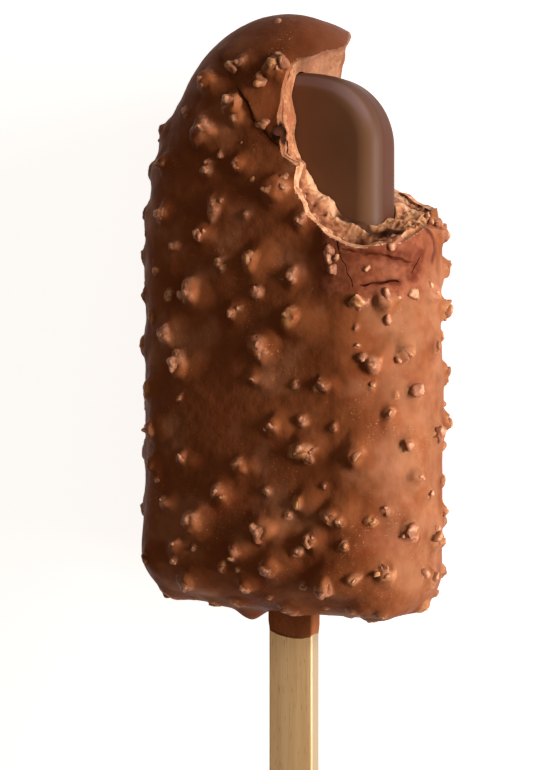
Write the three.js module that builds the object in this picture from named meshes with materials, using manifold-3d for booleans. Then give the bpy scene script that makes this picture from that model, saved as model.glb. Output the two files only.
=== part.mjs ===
// A chocolate ice cream bar with a nut coating, bitten at its upper right corner, on a wooden stick.
//
// The bar lies on its back. X runs across it, Y along it towards its rounded top, Z up out of its
// front. The origin is on the flat spot that it rests on, in the middle of its back. Lengths are in
// millimetres. "Height" below is measured along Y from the bar's flat bottom end, and "level" along Z
// from the plane halfway through its thickness.

import * as THREE from "three";
import { mergeVertices } from "three/addons/utils/BufferGeometryUtils.js";
import Module from "manifold-3d";

// ---------- Driving dimensions ----------

// The bar, with its chocolate coating but without the nuts
const BAR_LENGTH = 93.8;
const BAR_HALF_WIDTH = 24.3;
const BAR_HALF_THICKNESS = 13;
const BAR_EDGE_RADIUS = 11;
const BAR_CORNER_RADIUS = 7;
const ARCH_RISE = 39.4;
const LEFT_FOOT = { lift: 2.2, reach: 26 };
const FACE_CROWN = 0.7;

// The gentle unevenness of the dipped skin: each wave's height and its turns a millimetre
const SKIN_WAVES = [
  { rise: 0.12, x: 0.31, height: 0.17, level: 0.4, phase: 0.6 },
  { rise: 0.1, x: -0.27, height: 0.23, level: 0, phase: 1.9 },
  { rise: 0.08, x: -0.19, height: 0.12, level: 0.35, phase: 4.1 },
];

const COATING_THICKNESS = 1.5;
const GAP = 0.3;

// The smooth inner bar, which the bite leaves whole
const CORE_BOTTOM = 7;
const CORE_TOP = 84.5;
const CORE_HALF_WIDTH = 17;
const CORE_HALF_THICKNESS = 4.5;
const CORE_EDGE_RADIUS = 3.4;
const CORE_CORNER_RADIUS = 11.5;
const CORE_CROWN_RADIUS = 30;

// The stick, a little to the right of the bar's middle
const STICK_X = 0.3;
const STICK_WIDTH = 7.8;
const STICK_THICKNESS = 2.4;
const STICK_END_RADIUS = 3.6;
const STICK_EASED_EDGE = 0.25;
const STICK_OUTSIDE = 42;
const STICK_INSIDE = 46;

// The skirt of coating that ran down the stick
const SKIRT_WALL = 0.4;
const SKIRT_LENGTH = 3.9;
const SKIRT_CURVE = 1.1;
const SKIRT_ROOT = 3;

// The bite: a slanting round cut through the whole thickness, with an upright wall at its top, narrower
// there near the front, with a bulge low down near the front and a heel where it leaves the bar. Angles
// are in degrees from +X towards the bar's top.
const BITE_FRONT = { x: 22.5, height: 76 };
const BITE_BACK = { x: 19.5, height: 82.3 };
const BITE_RADIUS = 17.5;
const BITE_TOP_RADIUS = 13;
const BITE_TOP_ANGLE = 147;
const BITE_TOP_BLEND = 26;
const BITE_TOP_WALL = {
  distance: 9, level: 4.5, slant: 0.41, mostRadius: 24, lowestAngle: 91, highestAngle: 165,
};
const BULGE = { angle: 249, spread: 24, depth: 3, lowestLevel: 0, fullLevel: 9 };
const TOOTH = { angle: 208, halfAngle: 9, depth: 2, lowestLevel: 7 };
const HEEL = { leastAngle: 262, fullAngle: 275, leastLevel: -6, fullLevel: 2, depth: 1.9 };
const TEETH = [
  { count: 7, depth: 0.32, phase: 0.4, lean: 0.1 },
  { count: 13, depth: 0.22, phase: 2.1, lean: -0.24 },
  { count: 23, depth: 0.14, phase: 4.0, lean: 0.5 },
];
const LIP = 0.35;
const PORES = 16;
const PORE_RADIUS = { least: 0.55, spread: 0.75 };
const PORE_ANGLES = { least: 150, spread: 175 };
const PORE_MARGIN = 2.5;
const LUMP_STRETCH = { least: 0.8, spread: 0.4 };
const NUT_SOCKET = { x: 5.2, height: 73.6, level: 12.1, radius: 1.05 };

// Cracks in the coating, each from one place on the skin to the next.
// "around" is the distance from the middle of the narrow side towards the front.
const CRACK_HALF_WIDTH = 0.28;
const CRACK_DEPTH = 0.75;
const CRACK_OVERSHOOT = 1;
const SHOULDER_CRACKS = [
  [{ around: 17.6, height: 56.9 }, { around: 15.3, height: 50.1 }],
  [{ around: 17.0, height: 55.6 }, { around: 11.0, height: 55.2 }, { around: 5.5, height: 54.1 }],
  [{ around: 14.1, height: 50.3 }, { around: 8.1, height: 50.9 }],
  [{ around: 3.5, height: 54.8 }, { around: 5.5, height: 52.2 }],
];
const FACE_CRACK = [
  { x: -3.8, height: 83.1 },
  { x: -1.6, height: 80.4 },
  { x: 0.2, height: 78.0 },
  { x: 1.6, height: 74.9 },
  { x: 5.0, height: 71.9 },
  { x: 8.3, height: 69.0 },
];

// Chopped nuts under the coating, the largest sizes first
const NUT_SIZES = [
  { count: 30, radius: 2.4, height: 1.2 },
  { count: 72, radius: 1.95, height: 1.0 },
  { count: 52, radius: 1.5, height: 0.85 },
];
const NUT_SIZE_SPREAD = 0.22;
const NUT_CLEARANCE = 1.5;
const NUT_ROOT = 0.75;
const NUT_STRETCH = { least: 0.82, spread: 0.36 };
const NUT_FOOT = { least: 1.1, spread: 0.15 };
const NUT_SHOULDER = { least: 0.55, spread: 0.25 };
const NUT_SHOULDER_RISE = { least: 0.6, spread: 0.35 };
const NUT_TIP_OFFSET = 0.2;
const NUT_SIDES = 5;
const NUT_SEED = 20;
const NUT_TRIES = 400;
const NUT_REACH_INTO_BITE = 0.3;
const OUTLINE_SHRINKAGE = 0.027;

// Parts of the skin that carry no nuts: round the stick, the flat spot below, the broken plates, the
// smooth plate at the top and the rim of the arch
const STICK_CLEARANCE = { height: 4, halfWidth: 8, level: 5 };
const REST_CLEARANCE = 8;
const BARE_PLATES = { leastX: 11, leastLevel: 0, leastHeight: 49.5, mostHeight: 60 };
const BARE_TOP = { leastX: -12, leastHeight: 85, leastLevel: -8 };
const BARE_ARCH = { mostInset: 5, leastHeight: 80 };

// Nuts stand out less on the bottom end, where the bar dripped, and on the left narrow side
const BOTTOM_END = { height: 3, rise: 0.6 };
const LEFT_SIDE = { mostX: -19, rise: 0.6 };

// What it rests on: three nuts of its back, and between them a flat spot. The other nuts there, and the
// spot by a hair, stay above the floor.
const REST_DEPTH = 0.95;
const REST_RADIUS = 5;
const REST_SLOPE = 2;
const REST_SIDES = 24;
const REST_FEET = [{ x: 0, height: 71 }, { x: -12, height: 14 }, { x: 12, height: 14 }];
const SPOT_ABOVE_FLOOR = 0.02;
const NUTS_ABOVE_FLOOR = 0.15;

// Fineness of the meshes, in steps along half an outline and round an edge
const SKIN_STEPS = { bottom: 4, corner: 3, side: 8, arch: 13 };
const LINING_STEPS = { bottom: 3, corner: 3, side: 6, arch: 10 };
const CORE_STEPS = { bottom: 2, corner: 3, side: 4, shoulder: 4, crown: 4 };
const SKIN_EDGE_STEPS = 4;
const LINING_EDGE_STEPS = 3;
const CORE_EDGE_STEPS = 3;
const SKIN_FACE_INSETS = [15.5, 20.5];
const LINING_FACE_INSETS = [18];
const CORE_FACE_INSETS = [14.5];
const BITE_SIDES = 48;
const BITE_LEVELS = 7;
const BITE_OVERSHOOT = 4;

const MIDDLE_LEVEL = REST_DEPTH + BAR_HALF_THICKNESS + FACE_CROWN;
const RIGHT_ANGLE = Math.PI / 2;

// ---------- Small helpers ----------

const wasm = await Module();
wasm.setup();

// A repeatable stream of numbers from 0 to 1.
function makeRandom(seed) {
  let state = seed;
  return () => {
    state = (state + 0x6d2b79f5) >>> 0;
    let mixed = Math.imul(state ^ (state >>> 15), state | 1);
    mixed = (mixed + Math.imul(mixed ^ (mixed >>> 7), mixed | 61)) ^ mixed;
    return ((mixed ^ (mixed >>> 14)) >>> 0) / 4294967296;
  };
}

function between({ least, spread }, random) {
  return least + spread * random();
}

function smoothStep(edgeA, edgeB, value) {
  const t = Math.min(Math.max((value - edgeA) / (edgeB - edgeA), 0), 1);
  return t * t * (3 - 2 * t);
}

// A point of the bar, from its place across, its height up from the bottom end and its level.
function place(x, height, level) {
  return new THREE.Vector3(x, height - BAR_LENGTH / 2, level + MIDDLE_LEVEL);
}

function geometryOf(points, triangles) {
  const geometry = new THREE.BufferGeometry();
  const flat = points.flatMap((point) => [point.x, point.y, point.z]);
  geometry.setAttribute("position", new THREE.Float32BufferAttribute(flat, 3));
  geometry.setIndex(triangles.flat());
  return geometry;
}

function toSolid(geometry) {
  const bare = geometry.clone();
  bare.deleteAttribute("normal");
  bare.deleteAttribute("uv");
  const merged = mergeVertices(bare, 1e-4);
  return new wasm.Manifold(new wasm.Mesh({
    numProp: 3,
    vertProperties: new Float32Array(merged.attributes.position.array),
    triVerts: new Uint32Array(merged.index.array),
  }));
}

function fromSolid(solid) {
  const mesh = solid.getMesh();
  const geometry = new THREE.BufferGeometry();
  geometry.setAttribute("position", new THREE.Float32BufferAttribute(mesh.vertProperties, 3));
  geometry.setIndex(new THREE.Uint32BufferAttribute(mesh.triVerts, 1));
  return geometry;
}

// The largest of the loose solids that a cut leaves.
function withoutScrap(solid) {
  const pieces = solid.decompose();
  return pieces.reduce((best, piece) => (piece.volume() > best.volume() ? piece : best));
}

// ---------- Outlines, seen from the front ----------
//
// An outline is a function of a step, from 0 at the middle of the bottom end, up the right side, to
// the top. It gives a point and the direction that faces out. The left half mirrors it.

function barOutline(steps) {
  const half = steps.bottom + steps.corner + steps.side + steps.arch;
  function rightHalf(step, inset) {
    const halfWidth = BAR_HALF_WIDTH - inset;
    const radius = Math.max(BAR_CORNER_RADIUS - inset * 0.45, 1) * Math.min(halfWidth / 8, 1);
    const rise = ARCH_RISE - inset;
    const springing = BAR_LENGTH - ARCH_RISE;
    let rest = step;
    if (rest <= steps.bottom) {
      return { x: (halfWidth - radius) * (rest / steps.bottom), height: inset, outX: 0, outY: -1 };
    }
    rest -= steps.bottom;
    if (rest <= steps.corner) {
      const angle = RIGHT_ANGLE * (rest / steps.corner - 1);
      const outX = Math.cos(angle);
      const outY = Math.sin(angle);
      const x = halfWidth - radius + radius * outX;
      return { x, height: inset + radius + radius * outY, outX, outY };
    }
    rest -= steps.corner;
    if (rest <= steps.side) {
      const foot = inset + radius;
      const height = foot + (springing - foot) * (rest / steps.side);
      return { x: halfWidth, height, outX: 1, outY: 0 };
    }
    rest -= steps.side;
    const angle = RIGHT_ANGLE * (rest / steps.arch);
    const out = new THREE.Vector2(Math.cos(angle) / halfWidth, Math.sin(angle) / rise).normalize();
    const x = halfWidth * Math.cos(angle);
    return { x, height: springing + rise * Math.sin(angle), outX: out.x, outY: out.y };
  }
  return { count: 2 * half, at: mirrored(rightHalf, half, leftFootLift) };
}

// The bar's lower left corner sits a little higher than the right one.
function leftFootLift({ x, height }) {
  const outward = x / BAR_HALF_WIDTH;
  const downward = Math.max(1 - height / LEFT_FOOT.reach, 0);
  return LEFT_FOOT.lift * outward * outward * downward;
}

function coreOutline(steps) {
  const half = steps.bottom + steps.corner + steps.side + steps.shoulder + steps.crown;
  const shoulderX = CORE_HALF_WIDTH - CORE_CORNER_RADIUS;
  const crownCentre = CORE_TOP - CORE_CROWN_RADIUS;
  const shoulderFromCrown = CORE_CROWN_RADIUS - CORE_CORNER_RADIUS;
  const shoulderAngle = Math.acos(shoulderX / shoulderFromCrown);
  const shoulderHeight = crownCentre + shoulderFromCrown * Math.sin(shoulderAngle);
  function rightHalf(step, inset) {
    const radius = Math.max(CORE_CORNER_RADIUS - inset, 0.5);
    const cornerX = CORE_HALF_WIDTH - inset - radius;
    const foot = CORE_BOTTOM + inset + radius;
    const shoulderFoot = Math.min(shoulderHeight, shoulderHeight - inset + CORE_CORNER_RADIUS - radius);
    let rest = step;
    if (rest <= steps.bottom) {
      return { x: cornerX * (rest / steps.bottom), height: CORE_BOTTOM + inset, outX: 0, outY: -1 };
    }
    rest -= steps.bottom;
    if (rest <= steps.corner) {
      const angle = RIGHT_ANGLE * (rest / steps.corner - 1);
      const outX = Math.cos(angle);
      const outY = Math.sin(angle);
      return { x: cornerX + radius * outX, height: foot + radius * outY, outX, outY };
    }
    rest -= steps.corner;
    if (rest <= steps.side) {
      const height = foot + (shoulderFoot - foot) * (rest / steps.side);
      return { x: cornerX + radius, height, outX: 1, outY: 0 };
    }
    rest -= steps.side;
    if (rest <= steps.shoulder) {
      const angle = shoulderAngle * (rest / steps.shoulder);
      const outX = Math.cos(angle);
      const outY = Math.sin(angle);
      return { x: cornerX + radius * outX, height: shoulderFoot + radius * outY, outX, outY };
    }
    rest -= steps.shoulder;
    const angle = shoulderAngle + (RIGHT_ANGLE - shoulderAngle) * (rest / steps.crown);
    const startX = cornerX + radius * Math.cos(shoulderAngle);
    const crownRadius = startX / Math.cos(shoulderAngle);
    const centre = shoulderFoot + (radius - crownRadius) * Math.sin(shoulderAngle);
    const outX = Math.cos(angle);
    const outY = Math.sin(angle);
    return { x: crownRadius * outX, height: centre + crownRadius * outY, outX, outY };
  }
  return { count: 2 * half, at: mirrored(rightHalf, half, () => 0) };
}

// Both halves of an outline, the left one the mirror image of the right but for its foot's lift.
function mirrored(rightHalf, half, footLift) {
  return (step, inset) => {
    if (step <= half) {
      return rightHalf(step, inset);
    }
    const point = rightHalf(2 * half - step, inset);
    return { ...point, height: point.height + footLift(point), x: -point.x, outX: -point.outX };
  };
}

// ---------- Cushion solids: an outline with rounded edges and two faces ----------

// The stations of a profile, from the middle of the side to the middle of the front face.
// Each has its inset from the outline, its level and how far it leans towards the front.
function profileStations(halfThickness, edgeRadius, edgeSteps, faceInsets) {
  const straight = halfThickness - edgeRadius;
  const stations = [];
  for (let step = 0; step <= edgeSteps; step += 1) {
    const lean = RIGHT_ANGLE * (step / edgeSteps);
    const inset = edgeRadius * (1 - Math.cos(lean));
    stations.push({ inset, level: straight + edgeRadius * Math.sin(lean), lean });
  }
  for (const inset of faceInsets) {
    stations.push({ inset, level: halfThickness, lean: RIGHT_ANGLE });
  }
  return stations;
}

// How far the middle of a face stands up from its edge.
function crownAt(inset, edgeRadius, halfWidth, crown) {
  if (inset <= edgeRadius) {
    return 0;
  }
  const slack = (halfWidth - inset) / (halfWidth - edgeRadius);
  return crown * (1 - slack * slack);
}

function waveAt(x, height, level) {
  return SKIN_WAVES.reduce((sum, wave) => {
    const turn = wave.x * x + wave.height * height + wave.level * level + wave.phase;
    return sum + wave.rise * Math.sin(turn);
  }, 0);
}

// Rings of points from the back to the front, skinned, with each end closed across the bar.
function cushion(form) {
  const { outline, shrink, halfThickness, edgeRadius, edgeSteps, faceInsets, crown, halfWidth, wave } = form;
  const front = profileStations(halfThickness - shrink, edgeRadius - shrink, edgeSteps,
    faceInsets.map((inset) => inset - shrink));
  const back = front.map((station) => ({ ...station, level: -station.level, lean: -station.lean })).reverse();
  const stations = [...back, ...front];
  const points = [];
  for (const station of stations) {
    const rise = crownAt(station.inset, edgeRadius - shrink, halfWidth - shrink, crown);
    for (let step = 0; step < outline.count; step += 1) {
      const edge = outline.at(step, station.inset + shrink);
      const level = station.level + Math.sign(station.level) * rise;
      const swell = wave ? waveAt(edge.x, edge.height, level) : 0;
      const flatness = Math.cos(station.lean);
      points.push(place(
        edge.x + swell * edge.outX * flatness,
        edge.height + swell * edge.outY * flatness,
        level + swell * Math.sin(station.lean),
      ));
    }
  }
  const around = outline.count;
  const triangles = [];
  for (let ring = 0; ring < stations.length - 1; ring += 1) {
    for (let step = 0; step < around; step += 1) {
      const next = (step + 1) % around;
      const a = ring * around + step;
      const b = ring * around + next;
      triangles.push([a, b, b + around], [a, b + around, a + around]);
    }
  }
  const last = (stations.length - 1) * around;
  for (let step = 0; step < around / 2; step += 1) {
    const right = step;
    const rightNext = step + 1;
    const left = (around - step) % around;
    const leftNext = around - step - 1;
    if (right !== left) {
      triangles.push([right, left, leftNext]);
      triangles.push([last + right, last + leftNext, last + left]);
    }
    if (rightNext !== leftNext) {
      triangles.push([right, leftNext, rightNext]);
      triangles.push([last + right, last + rightNext, last + leftNext]);
    }
  }
  return toSolid(geometryOf(points, triangles));
}

function barBody(steps, edgeSteps, faceInsets, shrink, wave) {
  return cushion({
    outline: barOutline(steps),
    shrink,
    halfThickness: BAR_HALF_THICKNESS,
    edgeRadius: BAR_EDGE_RADIUS,
    edgeSteps,
    faceInsets,
    crown: FACE_CROWN,
    halfWidth: BAR_HALF_WIDTH,
    wave,
  });
}

function coreBody(grow) {
  return cushion({
    outline: coreOutline(CORE_STEPS),
    shrink: -grow,
    halfThickness: CORE_HALF_THICKNESS,
    edgeRadius: CORE_EDGE_RADIUS,
    edgeSteps: CORE_EDGE_STEPS,
    faceInsets: CORE_FACE_INSETS,
    crown: 0,
    halfWidth: CORE_HALF_WIDTH,
    wave: false,
  });
}

// ---------- Places on the coating's skin ----------

const skinOutline = barOutline(SKIN_STEPS);
const SIDE_START = SKIN_STEPS.bottom + SKIN_STEPS.corner;
const SIDE_END = SIDE_START + SKIN_STEPS.side;
const HALF_AROUND = skinOutline.count / 2;
const AROUND_LIMIT = BAR_HALF_THICKNESS - BAR_EDGE_RADIUS + BAR_EDGE_RADIUS * RIGHT_ANGLE
  + (BAR_HALF_WIDTH - BAR_EDGE_RADIUS);

// The skin at a step of the outline and a distance round from the middle of the side.
function skinAt(step, around) {
  const side = Math.sign(around) || 1;
  const straight = BAR_HALF_THICKNESS - BAR_EDGE_RADIUS;
  const arc = Math.max(Math.abs(around) - straight, 0);
  const lean = Math.min(arc / BAR_EDGE_RADIUS, RIGHT_ANGLE);
  const past = Math.max(arc - BAR_EDGE_RADIUS * RIGHT_ANGLE, 0);
  const inset = BAR_EDGE_RADIUS * (1 - Math.cos(lean)) + past;
  const edge = skinOutline.at(step, inset);
  const crown = crownAt(inset, BAR_EDGE_RADIUS, BAR_HALF_WIDTH, FACE_CROWN);
  const upright = Math.min(Math.abs(around), straight) + BAR_EDGE_RADIUS * Math.sin(lean) + crown;
  const flatness = Math.cos(lean);
  const normal = new THREE.Vector3(edge.outX * flatness, edge.outY * flatness, side * Math.sin(lean));
  return { x: edge.x, height: edge.height, level: side * upright, inset, normal };
}

// The step of the outline where the right side has a given height.
function stepAtHeight(height, inset) {
  let low = SIDE_START;
  let high = HALF_AROUND;
  while (high - low > 1e-6) {
    const middle = (low + high) / 2;
    if (skinOutline.at(middle, inset).height < height) {
      low = middle;
    } else {
      high = middle;
    }
  }
  return low;
}

// ---------- The bite ----------

function biteCentre(level) {
  const share = (BAR_HALF_THICKNESS - level) / (2 * BAR_HALF_THICKNESS);
  return {
    x: BITE_FRONT.x + (BITE_BACK.x - BITE_FRONT.x) * share,
    height: BITE_FRONT.height + (BITE_BACK.height - BITE_FRONT.height) * share,
  };
}

// The distance to the upright wall where the bite ends at the top.
function topWallRadius(degrees, level) {
  const wall = BITE_TOP_WALL;
  if (degrees > wall.highestAngle) {
    return 0;
  }
  const angle = Math.max(degrees, wall.lowestAngle) * Math.PI / 180;
  const distance = wall.distance + wall.slant * (wall.level - level);
  return Math.min(distance / -Math.cos(angle), wall.mostRadius);
}

// The bite's radius at an angle in degrees from +X towards the bar's top.
function biteRadius(degrees, level) {
  const blend = BITE_TOP_BLEND / 2;
  const topward = smoothStep(BITE_TOP_ANGLE + blend, BITE_TOP_ANGLE - blend, degrees);
  const frontward = smoothStep(-BAR_HALF_THICKNESS, BAR_EDGE_RADIUS, level);
  const toothReach = Math.max(1 - Math.abs(degrees - TOOTH.angle) / TOOTH.halfAngle, 0);
  const toothShare = toothReach * smoothStep(TOOTH.lowestLevel - 2, TOOTH.lowestLevel + 2, level);
  const bulgeReach = Math.max(1 - Math.abs(degrees - BULGE.angle) / (2 * BULGE.spread), 0);
  const bulgeShare = smoothStep(0, 1, bulgeReach) * smoothStep(BULGE.lowestLevel, BULGE.fullLevel, level);
  const heelShare = smoothStep(HEEL.leastAngle, HEEL.fullAngle, degrees)
    * smoothStep(HEEL.leastLevel, HEEL.fullLevel, level);
  const angle = degrees * Math.PI / 180;
  const ripple = TEETH.reduce(
    (sum, tooth) => sum + tooth.depth * Math.sin(tooth.count * angle + tooth.lean * level + tooth.phase), 0);
  const round = BITE_RADIUS + (BITE_TOP_RADIUS - BITE_RADIUS) * topward * frontward;
  const cut = Math.max(round, topWallRadius(degrees, level));
  return cut + BULGE.depth * bulgeShare - TOOTH.depth * toothShare + HEEL.depth * heelShare + ripple;
}

function biteCutter(extra) {
  const points = [];
  const triangles = [];
  const reach = BAR_HALF_THICKNESS + BITE_OVERSHOOT;
  for (let ring = 0; ring <= BITE_LEVELS; ring += 1) {
    const level = -reach + 2 * reach * (ring / BITE_LEVELS);
    const centre = biteCentre(level);
    for (let side = 0; side < BITE_SIDES; side += 1) {
      const degrees = 360 * (side + 0.5 * (ring % 2)) / BITE_SIDES;
      const radius = biteRadius(degrees % 360, level) + extra;
      const angle = degrees * Math.PI / 180;
      const x = centre.x + radius * Math.cos(angle);
      points.push(place(x, centre.height + radius * Math.sin(angle), level));
    }
  }
  for (let ring = 0; ring < BITE_LEVELS; ring += 1) {
    for (let side = 0; side < BITE_SIDES; side += 1) {
      const next = (side + 1) % BITE_SIDES;
      const a = ring * BITE_SIDES + side;
      const b = ring * BITE_SIDES + next;
      if (ring % 2 === 0) {
        triangles.push([a, b, a + BITE_SIDES], [b, b + BITE_SIDES, a + BITE_SIDES]);
      } else {
        triangles.push([a, b, b + BITE_SIDES], [a, b + BITE_SIDES, a + BITE_SIDES]);
      }
    }
  }
  const top = BITE_LEVELS * BITE_SIDES;
  for (let side = 1; side < BITE_SIDES - 1; side += 1) {
    triangles.push([0, side + 1, side], [top, top + side, top + side + 1]);
  }
  return toSolid(geometryOf(points, triangles));
}

function insideBite(x, height, level, margin) {
  const centre = biteCentre(level);
  const across = x - centre.x;
  const up = height - centre.height;
  const degrees = (Math.atan2(up, across) * 180 / Math.PI + 360) % 360;
  return Math.hypot(across, up) < biteRadius(degrees, level) + margin;
}

// A small rough lump, used for pores and for the socket that a nut left.
function lump(centre, radius, random) {
  const geometry = new THREE.IcosahedronGeometry(radius, 0);
  geometry.deleteAttribute("normal");
  geometry.deleteAttribute("uv");
  const merged = mergeVertices(geometry, 1e-4);
  const position = merged.attributes.position;
  for (let index = 0; index < position.count; index += 1) {
    const stretch = between(LUMP_STRETCH, random);
    position.setXYZ(index, centre.x + position.getX(index) * stretch,
      centre.y + position.getY(index) * stretch, centre.z + position.getZ(index) * stretch);
  }
  return toSolid(merged);
}

// Pores in the bitten face.
function pores() {
  const random = makeRandom(NUT_SEED + 1);
  const lumps = [];
  for (let index = 0; index < PORES; index += 1) {
    const degrees = between(PORE_ANGLES, random);
    const level = (BAR_HALF_THICKNESS - PORE_MARGIN) * (2 * random() - 1);
    const centre = biteCentre(level);
    const angle = degrees * Math.PI / 180;
    const radius = biteRadius(degrees, level);
    const size = between(PORE_RADIUS, random);
    const point = place(centre.x + radius * Math.cos(angle), centre.height + radius * Math.sin(angle), level);
    lumps.push(lump(point, size, random));
  }
  return lumps;
}

// ---------- Nuts ----------

// The length of the outline at an inset, as a share of its whole length.
function shareOfOutline(inset) {
  return 1 - OUTLINE_SHRINKAGE * inset;
}

// Places for the nuts: darts thrown evenly over the skin, kept where no larger nut is near.
function nutPlaces() {
  const random = makeRandom(NUT_SEED);
  const nuts = [];
  for (const size of NUT_SIZES) {
    for (let index = 0; index < size.count; index += 1) {
      const radius = size.radius * (1 + NUT_SIZE_SPREAD * (2 * random() - 1));
      for (let attempt = 0; attempt < NUT_TRIES; attempt += 1) {
        const step = skinOutline.count * random();
        const around = AROUND_LIMIT * (2 * random() - 1);
        const keep = random();
        const spot = skinAt(step, around);
        if (keep < shareOfOutline(spot.inset) && isFree(spot, radius, nuts)) {
          const share = Math.min(spot.height < BOTTOM_END.height ? BOTTOM_END.rise : 1,
            spot.x < LEFT_SIDE.mostX ? LEFT_SIDE.rise : 1);
          nuts.push({ ...spot, radius, rise: share * size.height * radius / size.radius });
          break;
        }
      }
    }
  }
  return nuts;
}

function isBare({ x, height, level, inset }) {
  const onStick = height < STICK_CLEARANCE.height && Math.abs(x) < STICK_CLEARANCE.halfWidth
    && Math.abs(level) < STICK_CLEARANCE.level;
  const onRest = level < -BAR_EDGE_RADIUS && Math.hypot(x, height - BAR_LENGTH / 2) < REST_CLEARANCE;
  const onPlates = x > BARE_PLATES.leastX && level > BARE_PLATES.leastLevel
    && height > BARE_PLATES.leastHeight && height < BARE_PLATES.mostHeight;
  const onTop = x > BARE_TOP.leastX && height > BARE_TOP.leastHeight && level > BARE_TOP.leastLevel;
  const onArch = inset < BARE_ARCH.mostInset && height > BARE_ARCH.leastHeight;
  return onStick || onRest || onPlates || onTop || onArch;
}

function isFree(spot, radius, nuts) {
  if (insideBite(spot.x, spot.height, spot.level, radius * (1 - NUT_REACH_INTO_BITE)) || isBare(spot)) {
    return false;
  }
  return nuts.every((nut) => {
    const distance = Math.hypot(nut.x - spot.x, nut.height - spot.height, nut.level - spot.level);
    return distance > nut.radius + radius + NUT_CLEARANCE;
  });
}

// A faceted lump with a broad foot, a rough shoulder and an off-centre tip.
function nutSolid(nut, random) {
  const centre = place(nut.x, nut.height, nut.level);
  const tangent = new THREE.Vector3(-nut.normal.y, nut.normal.x, 0);
  if (tangent.length() < 0.1) {
    tangent.set(1, 0, 0);
  }
  tangent.normalize();
  const other = new THREE.Vector3().crossVectors(nut.normal, tangent).normalize();
  const turn = 2 * Math.PI * random();
  const stretch = between(NUT_STRETCH, random);
  const at = (angle, radius, rise) => centre.clone()
    .addScaledVector(tangent, radius * stretch * Math.cos(angle + turn))
    .addScaledVector(other, radius / stretch * Math.sin(angle + turn))
    .addScaledVector(nut.normal, rise);
  const points = [];
  for (let side = 0; side < NUT_SIDES; side += 1) {
    const angle = 2 * Math.PI * (side + 0.3 * random()) / NUT_SIDES;
    points.push(at(angle, nut.radius * between(NUT_FOOT, random), -NUT_ROOT));
  }
  for (let side = 0; side < NUT_SIDES; side += 1) {
    const angle = 2 * Math.PI * (side + 0.5 + 0.3 * random()) / NUT_SIDES;
    const radius = nut.radius * between(NUT_SHOULDER, random);
    points.push(at(angle, radius, nut.rise * between(NUT_SHOULDER_RISE, random)));
  }
  const bottom = points.push(at(0, 0, -NUT_ROOT - 0.1)) - 1;
  const top = points.push(at(2 * Math.PI * random(), nut.radius * NUT_TIP_OFFSET, nut.rise)) - 1;
  const triangles = [];
  for (let side = 0; side < NUT_SIDES; side += 1) {
    const next = (side + 1) % NUT_SIDES;
    triangles.push([side, next, side + NUT_SIDES], [next, next + NUT_SIDES, side + NUT_SIDES]);
    triangles.push([bottom, next, side], [top, side + NUT_SIDES, next + NUT_SIDES]);
  }
  return toSolid(geometryOf(points, triangles));
}

// The nuts of the back's flat face nearest to the places for feet.
function feetAmong(nuts) {
  const flat = nuts.filter((nut) => nut.normal.z < -0.999);
  return REST_FEET.map((foot) => {
    const distance = (nut) => Math.hypot(nut.x - foot.x, nut.height - foot.height);
    return flat.reduce((best, nut) => (distance(nut) < distance(best) ? nut : best));
  });
}

// The nuts as solids: the feet, which reach down to the floor, and all the others.
function nutSolids() {
  const random = makeRandom(NUT_SEED + 2);
  const nuts = nutPlaces();
  const feet = feetAmong(nuts);
  const solids = { feet: [], others: [] };
  for (const nut of nuts) {
    if (feet.includes(nut)) {
      solids.feet.push(nutSolid({ ...nut, rise: nut.level + MIDDLE_LEVEL }, random));
    } else {
      solids.others.push(nutSolid(nut, random));
    }
  }
  return solids;
}

// ---------- Cracks ----------

// A V-shaped groove along a path of points, each with the direction out of the skin there.
function groove(path) {
  const points = [];
  const triangles = [];
  path.forEach((spot, index) => {
    const before = path[Math.max(index - 1, 0)].point;
    const after = path[Math.min(index + 1, path.length - 1)].point;
    const along = after.clone().sub(before).normalize();
    const sideways = new THREE.Vector3().crossVectors(along, spot.normal).normalize();
    const mouth = CRACK_HALF_WIDTH * (1 + CRACK_OVERSHOOT / CRACK_DEPTH);
    const above = spot.point.clone().addScaledVector(spot.normal, CRACK_OVERSHOOT);
    points.push(
      above.clone().addScaledVector(sideways, -mouth),
      above.clone().addScaledVector(sideways, mouth),
      spot.point.clone().addScaledVector(spot.normal, -CRACK_DEPTH),
    );
  });
  for (let index = 0; index < path.length - 1; index += 1) {
    for (let side = 0; side < 3; side += 1) {
      const a = 3 * index + side;
      const b = 3 * index + (side + 1) % 3;
      triangles.push([a, b, b + 3], [a, b + 3, a + 3]);
    }
  }
  const last = 3 * (path.length - 1);
  triangles.push([0, 2, 1], [last, last + 1, last + 2]);
  return toSolid(geometryOf(points, triangles));
}

function cracks() {
  const shoulder = SHOULDER_CRACKS.map((crack) => crack.map((spot) => {
    const inset = skinAt(SIDE_END, spot.around).inset;
    const skin = skinAt(stepAtHeight(spot.height, inset), spot.around);
    return { point: place(skin.x, skin.height, skin.level), normal: skin.normal };
  }));
  const face = FACE_CRACK.map((spot) => ({
    point: place(spot.x, spot.height, BAR_HALF_THICKNESS),
    normal: new THREE.Vector3(0, 0, 1),
  }));
  return [...shoulder, face].map(groove);
}

// ---------- The stick ----------

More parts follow.
